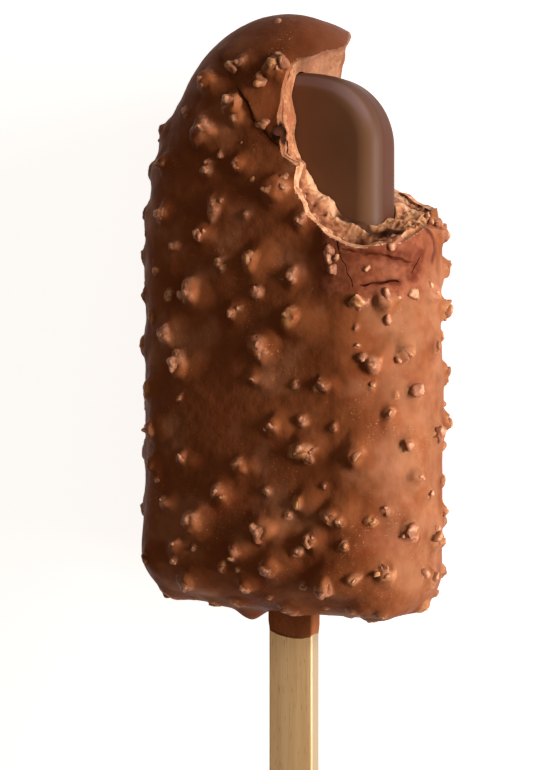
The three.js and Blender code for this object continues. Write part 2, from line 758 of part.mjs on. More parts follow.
function stickSolid(grow) {
  const radius = STICK_END_RADIUS + grow;
  const halfWidth = STICK_WIDTH / 2 + grow;
  const lowest = -STICK_OUTSIDE - grow;
  const highest = STICK_INSIDE + grow;
  const shape = new THREE.Shape();
  shape.moveTo(-halfWidth + radius, lowest);
  shape.absarc(halfWidth - radius, lowest + radius, radius, -RIGHT_ANGLE, 0);
  shape.absarc(halfWidth - radius, highest - radius, radius, 0, RIGHT_ANGLE);
  shape.absarc(-halfWidth + radius, highest - radius, radius, RIGHT_ANGLE, Math.PI);
  shape.absarc(-halfWidth + radius, lowest + radius, radius, Math.PI, 1.5 * Math.PI);
  const eased = grow > 0 ? 0 : STICK_EASED_EDGE;
  const thickness = STICK_THICKNESS + 2 * grow;
  const geometry = new THREE.ExtrudeGeometry(shape, {
    depth: thickness - 2 * eased,
    bevelEnabled: eased > 0,
    bevelThickness: eased,
    bevelSize: eased,
    bevelOffset: -eased,
    bevelSegments: 1,
    curveSegments: 4,
  });
  const low = place(STICK_X, 0, -thickness / 2 + eased);
  geometry.translate(low.x, low.y, low.z);
  return toSolid(geometry);
}

// The skirt round the stick, with a rounded lower edge.
function skirtSolid() {
  const halfWidth = STICK_WIDTH / 2 + GAP + SKIRT_WALL;
  const thickness = STICK_THICKNESS + 2 * (GAP + SKIRT_WALL);
  const shape = new THREE.Shape();
  shape.moveTo(-halfWidth, SKIRT_ROOT);
  shape.lineTo(-halfWidth, SKIRT_CURVE - SKIRT_LENGTH);
  shape.absellipse(0, SKIRT_CURVE - SKIRT_LENGTH, halfWidth, SKIRT_CURVE, Math.PI, 2 * Math.PI);
  shape.lineTo(halfWidth, SKIRT_ROOT);
  shape.closePath();
  const settings = { depth: thickness, bevelEnabled: false, curveSegments: 5 };
  const geometry = new THREE.ExtrudeGeometry(shape, settings);
  const low = place(STICK_X, 0, -thickness / 2);
  geometry.translate(low.x, low.y, low.z);
  return toSolid(geometry);
}

// ---------- The flat spot that it rests on ----------

function restSolid() {
  const depth = 2 * REST_DEPTH;
  const geometry = new THREE.CylinderGeometry(REST_RADIUS + 2 * REST_SLOPE, REST_RADIUS, depth, REST_SIDES);
  geometry.rotateX(RIGHT_ANGLE);
  geometry.translate(0, 0, SPOT_ABOVE_FLOOR + depth / 2);
  return toSolid(geometry);
}

// All that is lower than a height above the floor.
function below(top) {
  const size = 3 * BAR_LENGTH;
  const geometry = new THREE.BoxGeometry(size, size, size);
  geometry.translate(0, 0, top - size / 2);
  return toSolid(geometry);
}

// ---------- The pieces ----------

function coatingSolid() {
  const skin = barBody(SKIN_STEPS, SKIN_EDGE_STEPS, SKIN_FACE_INSETS, 0, true);
  const hollow = barBody(LINING_STEPS, LINING_EDGE_STEPS, LINING_FACE_INSETS, COATING_THICKNESS, false);
  const random = makeRandom(NUT_SEED + 3);
  const socket = lump(place(NUT_SOCKET.x, NUT_SOCKET.height, NUT_SOCKET.level), NUT_SOCKET.radius, random);
  const nuts = nutSolids();
  const raised = wasm.Manifold.union([skin, skirtSolid(), ...nuts.others]).subtract(below(NUTS_ABOVE_FLOOR));
  const whole = wasm.Manifold.union([raised, restSolid(), ...nuts.feet]);
  const cuts = [hollow, biteCutter(LIP), stickSolid(GAP), socket, ...cracks()];
  return withoutScrap(whole.subtract(wasm.Manifold.union(cuts)));
}

function iceCreamSolid() {
  const whole = barBody(LINING_STEPS, LINING_EDGE_STEPS, LINING_FACE_INSETS, COATING_THICKNESS + GAP, false);
  const random = makeRandom(NUT_SEED + 3);
  const socket = lump(place(NUT_SOCKET.x, NUT_SOCKET.height, NUT_SOCKET.level), NUT_SOCKET.radius, random);
  const cuts = [coreBody(GAP), biteCutter(0), stickSolid(GAP), socket, ...pores()];
  return withoutScrap(whole.subtract(wasm.Manifold.union(cuts)));
}

function coreSolid() {
  return withoutScrap(coreBody(0).subtract(stickSolid(GAP)));
}

function piece(name, solid, color, roughness) {
  const material = new THREE.MeshStandardMaterial({ color, roughness, metalness: 0 });
  const mesh = new THREE.Mesh(fromSolid(solid), material);
  mesh.name = name;
  return mesh;
}

const bar = new THREE.Group();
bar.add(
  piece("coating", coatingSolid(), 0x6b3a22, 0.42),
  piece("ice_cream", iceCreamSolid(), 0xc98c66, 0.85),
  piece("core", coreSolid(), 0x55331f, 0.3),
  piece("stick", stickSolid(0), 0xc9a377, 0.75),
);

export default bar;
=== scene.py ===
"""A bitten ice cream bar on a wooden stick, dressed over its CAD frame.

The bar lies on its back. X runs across it, Y along it towards its rounded top and Z up out of its front.
Shapes are worked out in millimetres as (x, height, level): height is measured from the bar's flat bottom
end and level from the plane halfway through its thickness. They become metres in the row frame when a
piece is made.
"""

from math import acos, cos, dist, hypot, pi, radians, sin, sqrt
from types import SimpleNamespace

import bmesh
import bpy
import numpy as np
from mathutils import Matrix, Vector
from numpy.linalg import norm


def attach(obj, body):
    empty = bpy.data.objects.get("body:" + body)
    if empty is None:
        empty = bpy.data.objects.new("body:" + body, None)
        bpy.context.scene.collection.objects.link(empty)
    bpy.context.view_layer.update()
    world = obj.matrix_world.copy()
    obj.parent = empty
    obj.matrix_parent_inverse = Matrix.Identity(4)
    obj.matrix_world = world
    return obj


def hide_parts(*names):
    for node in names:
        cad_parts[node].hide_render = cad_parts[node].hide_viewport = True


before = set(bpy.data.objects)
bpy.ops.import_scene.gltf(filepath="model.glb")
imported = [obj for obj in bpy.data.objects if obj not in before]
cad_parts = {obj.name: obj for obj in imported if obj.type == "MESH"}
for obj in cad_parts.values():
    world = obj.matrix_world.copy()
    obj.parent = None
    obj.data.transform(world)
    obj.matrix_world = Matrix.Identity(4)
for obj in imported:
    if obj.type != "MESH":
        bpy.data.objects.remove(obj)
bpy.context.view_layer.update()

# ---- Sizes that the CAD names too, in millimetres ----

BAR_LENGTH = 93.8
BAR_HALF_WIDTH = 24.3
BAR_HALF_THICKNESS = 13.0
BAR_EDGE_RADIUS = 11.0
BAR_CORNER_RADIUS = 7.0
ARCH_RISE = 39.4
FOOT_LIFT, FOOT_REACH = 2.2, 26.0
FACE_CROWN = 0.7
BAR_STEPS = (4, 3, 8, 13)
COATING_THICKNESS = 1.5

CORE_BOTTOM = 7.0
CORE_TOP = 84.5
CORE_HALF_WIDTH = 17.0
CORE_HALF_THICKNESS = 4.5
CORE_EDGE_RADIUS = 3.4
CORE_CORNER_RADIUS = 11.5
CORE_CROWN_RADIUS = 30.0
CORE_STEPS = (2, 3, 4, 4, 4)

STICK_X = 0.3
STICK_WIDTH = 7.8
STICK_THICKNESS = 2.4
STICK_END_RADIUS = 3.6
STICK_OUTSIDE = 42.0
STICK_INSIDE = 46.0
SKIRT_LENGTH = 3.9
SKIRT_CURVE = 1.1
SKIRT_ROOT = 3.0

BITE_FRONT = (22.5, 76.0)
BITE_BACK = (19.5, 82.3)
BITE_RADIUS = 17.5
BITE_TOP_RADIUS = 13.0
BITE_TOP_ANGLE = 147.0
BITE_TOP_BLEND = 26.0
WALL_DISTANCE, WALL_LEVEL, WALL_SLANT, WALL_REACH = 9.0, 4.5, 0.41, 24.0
WALL_ANGLES = (91.0, 165.0)
BULGE_ANGLE, BULGE_SPREAD, BULGE_DEPTH, BULGE_LEVEL = 249.0, 24.0, 3.0, 9.0
TOOTH_ANGLE, TOOTH_HALF_ANGLE, TOOTH_DEPTH, TOOTH_LEVEL = 208.0, 9.0, 2.0, 7.0
HEEL_ANGLES, HEEL_LEVELS, HEEL_DEPTH = (262.0, 275.0), (-6.0, 2.0), 1.9
TEETH = ((7, 0.32, 0.4, 0.1), (13, 0.22, 2.1, -0.24), (23, 0.14, 4.0, 0.5))
LIP = 0.05
SOCKET = (5.3, 73.5, 12.2)
SOCKET_RADIUS = 1.5
FLAKE_GAP = ((5.2, 72.6, 10.6), (5.5, 71.2, 10.1), (6.3, 69.9, 9.7))
FLAKE_GAP_OUT = (0.95, 0.1, 0.3)
DEEP_PIT = (19.0, 58.4, 5.0)
CORNER_BREAK = (26.2, 64.8, -1.6)
CORNER_BREAK_RADIUS = 6.0

FACE_CRACK = ((-3.8, 83.1), (-1.6, 80.4), (0.2, 78.0), (1.6, 74.9), (5.0, 71.9), (8.3, 69.0))
SHOULDER_CRACKS = (
    ((17.6, 56.9), (15.3, 50.1)),
    ((17.0, 55.6), (11.0, 55.2), (5.5, 54.1)),
    ((14.1, 50.3), (8.1, 50.9)),
    ((3.5, 54.8), (5.5, 52.2)),
    ((1.0, 59.2), (-1.6, 57.9), (-2.0, 56.2), (-1.0, 54.6)),
)
# How far beside each of these cracks shade is painted onto the coating
CRUSHED = (0.5, 1.6, 0.8, 2.0, 1.2)

# Bits of nut laid bare round the broken plates and on the corner: height, distance round and size
BARE_BITS = ((55.6, 19.0, 1.1), (54.2, 19.4, 1.5), (52.7, 18.5, 1.2), (54.6, 17.7, 0.8), (56.3, 8.9, 1.4),
             (52.9, 13.0, 0.55), (47.8, 14.1, 1.6), (45.5, 9.3, 1.0), (49.4, 5.0, 1.3), (60.6, -2.3, 0.55),
             (61.4, -0.9, 0.45), (60.2, -3.6, 0.4), (91.5, 9.0, 0.8))
# and on the front by the bite: distance across, height and size
FRONT_BITS = ((-3.2, 84.0, 0.95), (2.3, 81.4, 1.4), (5.7, 84.3, 1.1), (2.5, 75.1, 1.2), (-1.0, 72.2, 0.8),
              (0.4, 66.9, 1.1), (6.4, 66.8, 0.65))

# A drip under the bottom end: distance across, level and reach
DRIP = (-6.8, 1.0, 2.5)

NUT_SIZES = ((30, 2.4, 1.2), (72, 1.95, 1.0), (52, 1.5, 0.85))
BOTTOM_HEIGHT, BOTTOM_RISE = 3.0, 0.6
LEFT_SIDE, LEFT_RISE = -19.0, 0.6
NUT_SIZE_SPREAD = 0.22
NUT_CLEARANCE = 1.5
NUT_SEED = 20
NUT_TRIES = 400
OUTLINE_SHRINKAGE = 0.027
REST_DEPTH = 0.95
REST_RADIUS = 5.0

MIDDLE_LEVEL = REST_DEPTH + BAR_HALF_THICKNESS + FACE_CROWN
RIGHT_ANGLE = pi / 2
MM = 0.001

# ---- Sizes that only the scene has, in millimetres ----

SKIN_VOXEL = 0.4
CHIP_SIZES = ((50, 0.95, 0.5), (35, 0.6, 0.25))

SKIRT_TILT = 0.08

# A mound's reach as a share of its nut's radius: past the nut, before it and to its sides
MOUND_DROP, MOUND_RAMP, MOUND_SIDE = 1.2, 2.2, 1.5
MOUND_RISE = 0.68
# How sharply mounds that meet are told apart: the larger, the more the higher one alone shows
MOUND_BLEND = 2.5
KNOB_RISE = 0.55
SKIN_OFFSET = 0.35

# A bit of nut has this many facets, with edges this sharp, and a finer mesh past each of these sizes
FACETS, FACET_SHARPNESS = 10, 10
FINER_SIZES = (0.5, 1.25)

# The cutter is fine where the bite's wall runs through the bar, between these angles in degrees, and
# reaches this far to both sides of the middle plane
FINE_ANGLES = (95.0, 318.0)
CUTTER_REACH = 17.0

# The ice cream reaches a little way into the coating and stays a little clear of the inner bar
ICE_OVERLAP, CORE_CLEARANCE = 0.05, 0.2


# ---- Repeatable numbers and noise ----


def cad_random(seed):
    """The CAD's own stream of numbers from 0 to 1, so that the nuts lie where its nuts lie."""
    state = seed

    def draw():
        nonlocal state
        state = (state + 0x6D2B79F5) & 0xFFFFFFFF
        mixed = (state ^ state >> 15) * (state | 1) & 0xFFFFFFFF
        product = (mixed ^ mixed >> 7) * (mixed | 61) & 0xFFFFFFFF
        mixed = (mixed + product & 0xFFFFFFFF) ^ mixed
        return (mixed ^ mixed >> 14) / 4294967296

    return draw


def hashed(cells, seed):
    """A number from 0 to 1 for each whole-numbered cell."""
    mixed = (cells @ np.array([73856093, 19349663, 83492791]) + seed * 2654435761) & 0xFFFFFFFF
    for _ in range(2):
        mixed = ((mixed ^ mixed >> 15) * 2246822519) & 0xFFFFFFFF
        mixed = ((mixed ^ mixed >> 13) * 3266489917) & 0xFFFFFFFF
    return (mixed ^ mixed >> 16) / 4294967296


def smooth_noise(points, size, seed):
    """Smooth noise from -1 to 1 with lumps of that size."""
    scaled = np.asarray(points) / size
    base = np.floor(scaled).astype(np.int64)
    share = scaled - base
    share = share * share * (3 - 2 * share)
    total = np.zeros(len(scaled))
    for corner in np.ndindex(2, 2, 2):
        weight = np.prod(np.where(corner, share, 1 - share), axis=1)
        total += weight * (2 * hashed(base + np.array(corner), seed) - 1)
    return total


def fractal_noise(points, size, seed, octaves=3):
    return sum(smooth_noise(points, size / 2.1**k, seed + k) / 2**k for k in range(octaves))


def pits(points, size, seed, share=0.5):
    """Round pits in a share of the cells of that size: 1 in the middle of a pit, 0 outside."""
    scaled = np.asarray(points) / size
    base = np.floor(scaled).astype(np.int64)
    depth = np.zeros(len(scaled))
    for offset in np.ndindex(3, 3, 3):
        cells = base + np.array(offset) - 1
        centre = cells + np.stack([hashed(cells, seed + k) for k in range(3)], axis=1)
        reach = 0.25 + 0.45 * hashed(cells, seed + 3)
        inside = 1 - norm(scaled - centre, axis=1) / reach
        here = np.where(hashed(cells, seed + 4) < share, np.clip(inside, 0, 1), 0)
        depth = np.maximum(depth, here)
    return depth * depth * (3 - 2 * depth)


def ease(edge_a, edge_b, value):
    """0 at the first edge to 1 at the second, eased at both."""
    share = np.clip((value - edge_a) / (edge_b - edge_a), 0, 1)
    return share * share * (3 - 2 * share)


# ---- Meshes ----


def mesh_from(points, faces):
    mesh = bpy.data.meshes.new("passing")
    mesh.from_pydata([tuple(point) for point in points], [], [tuple(face) for face in faces])
    mesh.update()
    return mesh


def ring_faces(rings, around, closed=False):
    """Faces between rings of points that follow each other, and from the last to the first if closed."""
    faces = []
    for ring in range(rings if closed else rings - 1):
        over = ((ring + 1) % rings - ring) * around
        for index in range(around):
            a, b = ring * around + index, ring * around + (index + 1) % around
            faces.append((a, b, b + over, a + over))
    return faces


def vectors_of(items, name):
    """A place or direction of each vertex or face, by its name in Blender."""
    flat = np.empty(3 * len(items))
    items.foreach_get(name, flat)
    return flat.reshape(-1, 3)


def points_of(mesh):
    return vectors_of(mesh.vertices, "co")


def move_points(mesh, points):
    mesh.vertices.foreach_set("co", np.asarray(points, float).ravel())
    mesh.update()


def add_object(name, data):
    obj = bpy.data.objects.new(name, data)
    bpy.context.scene.collection.objects.link(obj)
    return obj


def with_modifier(mesh, kind, **settings):
    """The mesh as a modifier leaves it. A mesh among the settings stands in a passing object."""
    obj = add_object("passing", mesh)
    passing = [obj]
    modifier = obj.modifiers.new(kind.lower(), kind)
    for key, value in settings.items():
        if isinstance(value, bpy.types.Mesh):
            value = add_object("passing", value)
            passing.append(value)
        setattr(modifier, key, value)
    result = bpy.data.meshes.new_from_object(obj.evaluated_get(bpy.context.evaluated_depsgraph_get()))
    for obj in passing:
        data = obj.data
        bpy.data.objects.remove(obj)
        bpy.data.meshes.remove(data)
    return result


def cut(mesh, *cutters):
    for cutter in cutters:
        mesh = with_modifier(mesh, "BOOLEAN", operation="DIFFERENCE", solver="MANIFOLD", object=cutter)
    return mesh


def largest_part(mesh):
    """The mesh without the loose scraps that a cut leaves."""
    work = bmesh.new()
    work.from_mesh(mesh)
    unseen, largest = set(work.verts), set()
    while unseen:
        front = {unseen.pop()}
        part = set(front)
        while front:
            front = {edge.other_vert(vertex) for vertex in front for edge in vertex.link_edges} & unseen
            unseen -= front
            part |= front
        largest = max(largest, part, key=len)
    bmesh.ops.delete(work, geom=[vertex for vertex in work.verts if vertex not in largest], context="VERTS")
    work.to_mesh(mesh)
    work.free()
    return mesh


def set_values(mesh, domain="POINT", **values):
    """Numbers for each point or face, which the piece's material reads by name."""
    for name, numbers in values.items():
        attribute = mesh.attributes.new(name, "FLOAT", domain)
        attribute.data.foreach_set("value", np.asarray(numbers, np.float32))


def make_piece(name, mesh, node, material, sharp_degrees=180.0):
    """A shown piece, in metres in the row frame, that stands for a CAD node."""
    mesh.transform(Matrix.Translation((0, -BAR_LENGTH / 2, MIDDLE_LEVEL)))
    mesh.transform(Matrix.Scale(MM, 4))
    mesh.shade_smooth()
    if sharp_degrees < 180:
        mesh.set_sharp_from_angle(angle=radians(sharp_degrees))
    mesh.materials.clear()
    mesh.materials.append(material)
    mesh.name = name
    obj = add_object(name, mesh)
    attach(obj, "root")
    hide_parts(node)


# ---- Outlines, seen from the front ----
#
# An outline gives, for a step from 0 at the middle of the bottom end up the right side to the top, a
# point and the direction out. The left half mirrors it.


def on_arc(x, height, radius, angle):
    out_x, out_y = cos(angle), sin(angle)
    return x + radius * out_x, height + radius * out_y, out_x, out_y


def on_outline(step, steps):
    """The part of an outline that a step is on, and how far along it the step is, from 0 to 1."""
    for part, count in enumerate(steps):
        if step <= count:
            return part, step / count
        step -= count


def lower_outline(part, share, bottom, corner_x, radius, top):
    """The first three parts: the bottom end, the corner and the side up to its top."""
    foot = bottom + radius
    if part == 0:
        return corner_x * share, bottom, 0.0, -1.0
    if part == 1:
        return on_arc(corner_x, foot, radius, RIGHT_ANGLE * (share - 1))
    return corner_x + radius, foot + (top - foot) * share, 1.0, 0.0


def bar_half(step, inset):
    part, share = on_outline(step, BAR_STEPS)
    half_width = BAR_HALF_WIDTH - inset
    radius = max(BAR_CORNER_RADIUS - inset * 0.45, 1) * min(half_width / 8, 1)
    springing = BAR_LENGTH - ARCH_RISE
    if part < 3:
        return lower_outline(part, share, inset, half_width - radius, radius, springing)
    angle, rise = RIGHT_ANGLE * share, ARCH_RISE - inset
    out_x, out_y = cos(angle) / half_width, sin(angle) / rise
    length = hypot(out_x, out_y)
    return half_width * cos(angle), springing + rise * sin(angle), out_x / length, out_y / length


def foot_lift(x, height):
    """The bar's lower left corner sits a little higher than the right one."""
    return FOOT_LIFT * (x / BAR_HALF_WIDTH) ** 2 * max(1 - height / FOOT_REACH, 0)


def core_half(step, inset):
    part, share = on_outline(step, CORE_STEPS)
    from_crown = CORE_CROWN_RADIUS - CORE_CORNER_RADIUS
    shoulder = acos((CORE_HALF_WIDTH - CORE_CORNER_RADIUS) / from_crown)
    springing = CORE_TOP - CORE_CROWN_RADIUS + from_crown * sin(shoulder)
    radius = max(CORE_CORNER_RADIUS - inset, min(0.5, CORE_HALF_WIDTH - inset))
    corner_x = CORE_HALF_WIDTH - inset - radius
    springing = min(springing, springing - inset + CORE_CORNER_RADIUS - radius)
    if part < 3:
        return lower_outline(part, share, CORE_BOTTOM + inset, corner_x, radius, springing)
    if part == 3:
        return on_arc(corner_x, springing, radius, shoulder * share)
    crown_radius = (corner_x + radius * cos(shoulder)) / cos(shoulder)
    middle = springing + (radius - crown_radius) * sin(shoulder)
    return on_arc(0, middle, crown_radius, shoulder + (RIGHT_ANGLE - shoulder) * share)


def outline_at(half, steps, step, inset, lift=lambda x, height: 0.0):
    whole = sum(steps)
    if step <= whole:
        return half(step, inset)
    x, height, out_x, out_y = half(2 * whole - step, inset)
    return -x, height + lift(x, height), -out_x, out_y


def bar_outline(step, inset):
    return outline_at(bar_half, BAR_STEPS, step, inset, foot_lift)


def core_outline(step, inset):
    return outline_at(core_half, CORE_STEPS, step, inset)


def crown_at(inset, edge_radius, half_width, crown):
    """How far the middle of a face stands up from its edge."""
    if inset <= edge_radius:
        return 0.0
    slack = (half_width - inset) / (half_width - edge_radius)
    return crown * (1 - slack * slack)


# ---- Cushion solids: an outline with rounded edges and two faces ----


def cushion(outline, steps, shrink, half_thickness, edge_radius, half_width, crown, fineness):
    """Rings of points from the back to the front, skinned and closed. Fineness is the number of points
    for each step of the outline, of stations round the edge and of rings on a face."""
    for_step, edge_steps, face_rings = fineness
    radius = edge_radius - shrink
    straight = half_thickness - edge_radius
    stations = []
    for step in range(edge_steps + 1):
        lean = RIGHT_ANGLE * step / edge_steps
        stations.append((radius * (1 - cos(lean)), straight + radius * sin(lean)))
    innermost = half_width - shrink - 0.05
    for ring in range(1, face_rings + 1):
        inset = radius + (innermost - radius) * ring / face_rings
        rise = crown_at(inset, radius, half_width - shrink, crown)
        stations.append((inset, half_thickness - shrink + rise))
    stations = [(inset, -level) for inset, level in reversed(stations)] + stations
    around = 2 * sum(steps) * for_step
    points = [(*outline(index / for_step, inset + shrink)[:2], level)
              for inset, level in stations for index in range(around)]
    faces = ring_faces(len(stations), around)
    last = (len(stations) - 1) * around
    for index in range(around // 2):
        corners = dict.fromkeys([index, -index % around, around - index - 1, index + 1])
        if len(corners) > 2:
            faces += [corners, [last + corner for corner in reversed(corners)]]
    return mesh_from(points, faces)


def bar_body(shrink, fineness):
    return cushion(bar_outline, BAR_STEPS, shrink, BAR_HALF_THICKNESS, BAR_EDGE_RADIUS, BAR_HALF_WIDTH,
                   FACE_CROWN, fineness)


def core_body(grow, fineness):
    return cushion(core_outline, CORE_STEPS, -grow, CORE_HALF_THICKNESS, CORE_EDGE_RADIUS,
                   CORE_HALF_WIDTH, 0.0, fineness)


# ---- The bite ----


def bite_centre(level):
    share = (BAR_HALF_THICKNESS - level) / (2 * BAR_HALF_THICKNESS)
    x = BITE_FRONT[0] + (BITE_BACK[0] - BITE_FRONT[0]) * share
    return x, BITE_FRONT[1] + (BITE_BACK[1] - BITE_FRONT[1]) * share


def top_wall_radius(degrees, level):
    """The distance to the upright wall where the bite ends at the top."""
    distance = WALL_DISTANCE + WALL_SLANT * (WALL_LEVEL - level)
    radius = np.minimum(distance / -np.cos(np.radians(np.maximum(degrees, WALL_ANGLES[0]))), WALL_REACH)
    return np.where(degrees > WALL_ANGLES[1], 0, radius)


def bite_radius(degrees, level):
    """The bite's radius at an angle in degrees from +X towards the bar's top."""
    blend = BITE_TOP_BLEND / 2
    topward = ease(BITE_TOP_ANGLE + blend, BITE_TOP_ANGLE - blend, degrees)
    frontward = ease(-BAR_HALF_THICKNESS, BAR_EDGE_RADIUS, level)
    tooth = np.maximum(1 - np.abs(degrees - TOOTH_ANGLE) / TOOTH_HALF_ANGLE, 0)
    tooth = tooth * ease(TOOTH_LEVEL - 2, TOOTH_LEVEL + 2, level)
    bulge = ease(0, 1, 1 - np.abs(degrees - BULGE_ANGLE) / (2 * BULGE_SPREAD))
    bulge = bulge * ease(0, BULGE_LEVEL, level)
    heel = ease(*HEEL_ANGLES, degrees) * ease(*HEEL_LEVELS, level)
    angle = np.radians(degrees)
    ripple = sum(depth * np.sin(count * angle + lean * level + phase) for count, depth, phase, lean in TEETH)
    plain = BITE_RADIUS + (BITE_TOP_RADIUS - BITE_RADIUS) * topward * frontward
    plain = np.maximum(plain, top_wall_radius(degrees, level))
    return plain + BULGE_DEPTH * bulge - TOOTH_DEPTH * tooth + HEEL_DEPTH * heel + ripple


def bite_polar(points):
    """The angle in degrees and the distance of points from the bite's axis."""
    x, height, level = np.asarray(points, float).T
    centre_x, centre_height = bite_centre(level)
    across, up = x - centre_x, height - centre_height
    return np.degrees(np.arctan2(up, across)) % 360, np.hypot(across, up)


def inside_bite(point, margin):
    degrees, distance = bite_polar([point])
    return distance[0] < bite_radius(degrees, point[2])[0] + margin


def bell(*offsets):
    """A bell-shaped swelling, 1 where every offset is 0."""
    return np.exp(-sum(offset * offset for offset in offsets))


def torn(points, size, seed):
    """Hollows with thin ridges between them: 0 on a ridge, 1 deep in a hollow."""
    return np.clip(2.2 * np.abs(fractal_noise(points, size, seed, 2)), 0, 1)


def ice_hollows(points, degrees):
    """Pores of three sizes, the largest only low in the bite, torn hollows and one deep pit. They are
    shallower close to the inner bar, save at the low right end."""
    low = ease(195, 225, degrees)
    calm = 1 - 0.65 * ease(7.4, 4.6, np.abs(points[:, 2])) * ease(262, 255, degrees)
    fine = pits(points, 1.1, 30, 0.6)
    middling = pits(points, 2.3, 35, 0.45)
    large = pits(points, 4.4, 40, 0.55)
    pit = np.clip(1 - pit_distance(points) / 1.5, 0, 1)
    hollows = 0.15 * torn(points, 2.6, 45) + (0.15 + 0.25 * low) * torn(points, 1.2, 47)
    pores = (0.35 + 0.25 * low) * fine + (0.4 + 0.3 * low) * middling + 0.5 * low * large
    return (hollows + pores) * calm + 1.7 * pit


def pit_distance(points):
    """The distance from the deep pit under the inner bar, drawn out and uneven."""
    away = warped(points, 0.6, 1.6, 33) - DEEP_PIT
    return norm(away * (0.5, 1.1, 0.8), axis=1)


def ice_relief(points):
    """How much deeper the bite goes into the ice cream. Low in the bite it tore a channel between two
    rims and left a gap under the inner bar; further up it slants in towards the inner bar. The tears
    run along the wall."""
    degrees, _ = bite_polar(points)
    level = points[:, 2]
    depth = np.abs(level)
    low = ease(190, 215, degrees)
    slant = 1.35 * ease(11.5, 4.5, level) * ease(-8.0, 0.0, level) * (1 - low)
    wall = np.stack([np.radians(degrees) * BITE_RADIUS * 0.3, level, 0 * level], axis=1)
    tears = (0.2 + 0.1 * low) * fractal_noise(wall, 1.1, 52)
    channel = low * bell((depth - 8.2) / 2.0) * (0.9 + 0.6 * smooth_noise(points, 4.5, 11))
    corner = ease(249, 257, degrees) * ease(272, 265, degrees) * ease(-4.0, 0.0, level)
    under = np.interp(degrees, (214, 226, 237, 243, 247, 253), (1.0, 0.2, 0.6, 0.4, -0.2, -0.9))
    under *= ease(8.0, 5.0, level) * (level > 0)
    slant += low * under + 1.6 * corner * ease(6.2, 5.2, level)
    channel += 0.4 * gap_share(degrees, level)
    rough = (0.06 + 0.06 * low) * fractal_noise(points, 2.0, 50, 4)
    hollows = ice_hollows(points, degrees)
    tears *= 0.3 + 0.7 * ease(4.2, 6.0, depth)
    return hollows + slant + tears + channel + rough - 0.1 - 0.15 * low


def gap_share(degrees, level):
    """1 in the gap between the ice cream and the lower end of the inner bar."""
    below = ease(232, 240, degrees) * ease(264, 257, degrees)
    return below * ease(5.9, 5.2, level) * ease(3.5, 4.2, level)


def shell_relief(points):
    return 0.16 * fractal_noise(points, 2.2, 60)


def bite_cutter(extra, relief, spacing):
    """A slanting, nearly round cutter. Relief tells how much deeper it goes at each point."""
    first, last = FINE_ANGLES
    angles = np.concatenate([np.arange(first, last, np.degrees(spacing / BITE_RADIUS)),
                             np.arange(last, first + 360, 4.0) % 360])
    levels = np.arange(-CUTTER_REACH, CUTTER_REACH, spacing * 1.1)
    level, degrees = (grid.ravel() for grid in np.meshgrid(levels, angles, indexing="ij"))
    centre_x, centre_height = bite_centre(level)
    across, up = np.cos(np.radians(degrees)), np.sin(np.radians(degrees))

    def points_at(radius):
        return np.stack([centre_x + radius * across, centre_height + radius * up, level], axis=1)

    radius = bite_radius(degrees, level) + extra
    points = points_at(radius + relief(points_at(radius)))
    rings, around = len(levels), len(angles)
    ends = [reversed(range(around)), range((rings - 1) * around, rings * around)]
    return mesh_from(points, ring_faces(rings, around) + ends)


# ---- Places on the coating's skin, and the nuts ----

AROUND_STRAIGHT = BAR_HALF_THICKNESS - BAR_EDGE_RADIUS
AROUND_LIMIT = AROUND_STRAIGHT + BAR_EDGE_RADIUS * RIGHT_ANGLE + (BAR_HALF_WIDTH - BAR_EDGE_RADIUS)


def skin_at(step, around):
    """The skin's point, direction out and inset at a step of the outline and a distance round from the
    middle of the narrow side."""
    side = -1.0 if around < 0 else 1.0
    arc = max(abs(around) - AROUND_STRAIGHT, 0)
    lean = min(arc / BAR_EDGE_RADIUS, RIGHT_ANGLE)
    past = max(arc - BAR_EDGE_RADIUS * RIGHT_ANGLE, 0)
    inset = BAR_EDGE_RADIUS * (1 - cos(lean)) + past
    x, height, out_x, out_y = bar_outline(step, inset)
    crown = crown_at(inset, BAR_EDGE_RADIUS, BAR_HALF_WIDTH, FACE_CROWN)
    level = min(abs(around), AROUND_STRAIGHT) + BAR_EDGE_RADIUS * sin(lean) + crown
    flatness = cos(lean)
    normal = np.array([out_x * flatness, out_y * flatness, side * sin(lean)])
    return np.array([x, height, side * level]), normal, inset


def is_bare(point, inset):
    """Whether nothing is strewn here: round the stick, on the rest spot, the broken plates, the top or
    the rim of the arch."""
    x, height, level = point
    on_stick = height < 4 and abs(x) < 8 and abs(level) < 5
    on_rest = level < -BAR_EDGE_RADIUS and hypot(x, height - BAR_LENGTH / 2) < 8
    on_plates = x > 11 and level > 0 and 49.5 < height < 60
    on_top = x > -12 and height > 85 and level > -8
    on_arch = inset < 5 and height > 80
    return on_stick or on_rest or on_plates or on_top or on_arch


def strew(sizes, clearance, random, taken):
    """Nuts of each size in turn, spread evenly: darts thrown at the skin and kept where there is room."""
    found = []
    for count, size, height in sizes:
        for _ in range(count):
            radius = size * (1 + NUT_SIZE_SPREAD * (2 * random() - 1))
            for _ in range(NUT_TRIES):
                step = 2 * sum(BAR_STEPS) * random()
                around = AROUND_LIMIT * (2 * random() - 1)
                keep = random()
                point, normal, inset = skin_at(step, around)
                if keep >= 1 - OUTLINE_SHRINKAGE * inset:
                    continue
                if inside_bite(point, radius * 0.7) or is_bare(point, inset):
                    continue
                rivals = taken + found
                if all(dist(point, nut.point) > nut.radius + radius + clearance for nut in rivals):
                    share = BOTTOM_RISE if point[1] < BOTTOM_HEIGHT else 1
                    share = min(share, LEFT_RISE if point[0] < LEFT_SIDE else 1)
                    found.append(SimpleNamespace(point=point, normal=normal, radius=radius,
                                                 rise=share * height * radius / size))
                    break
    return found


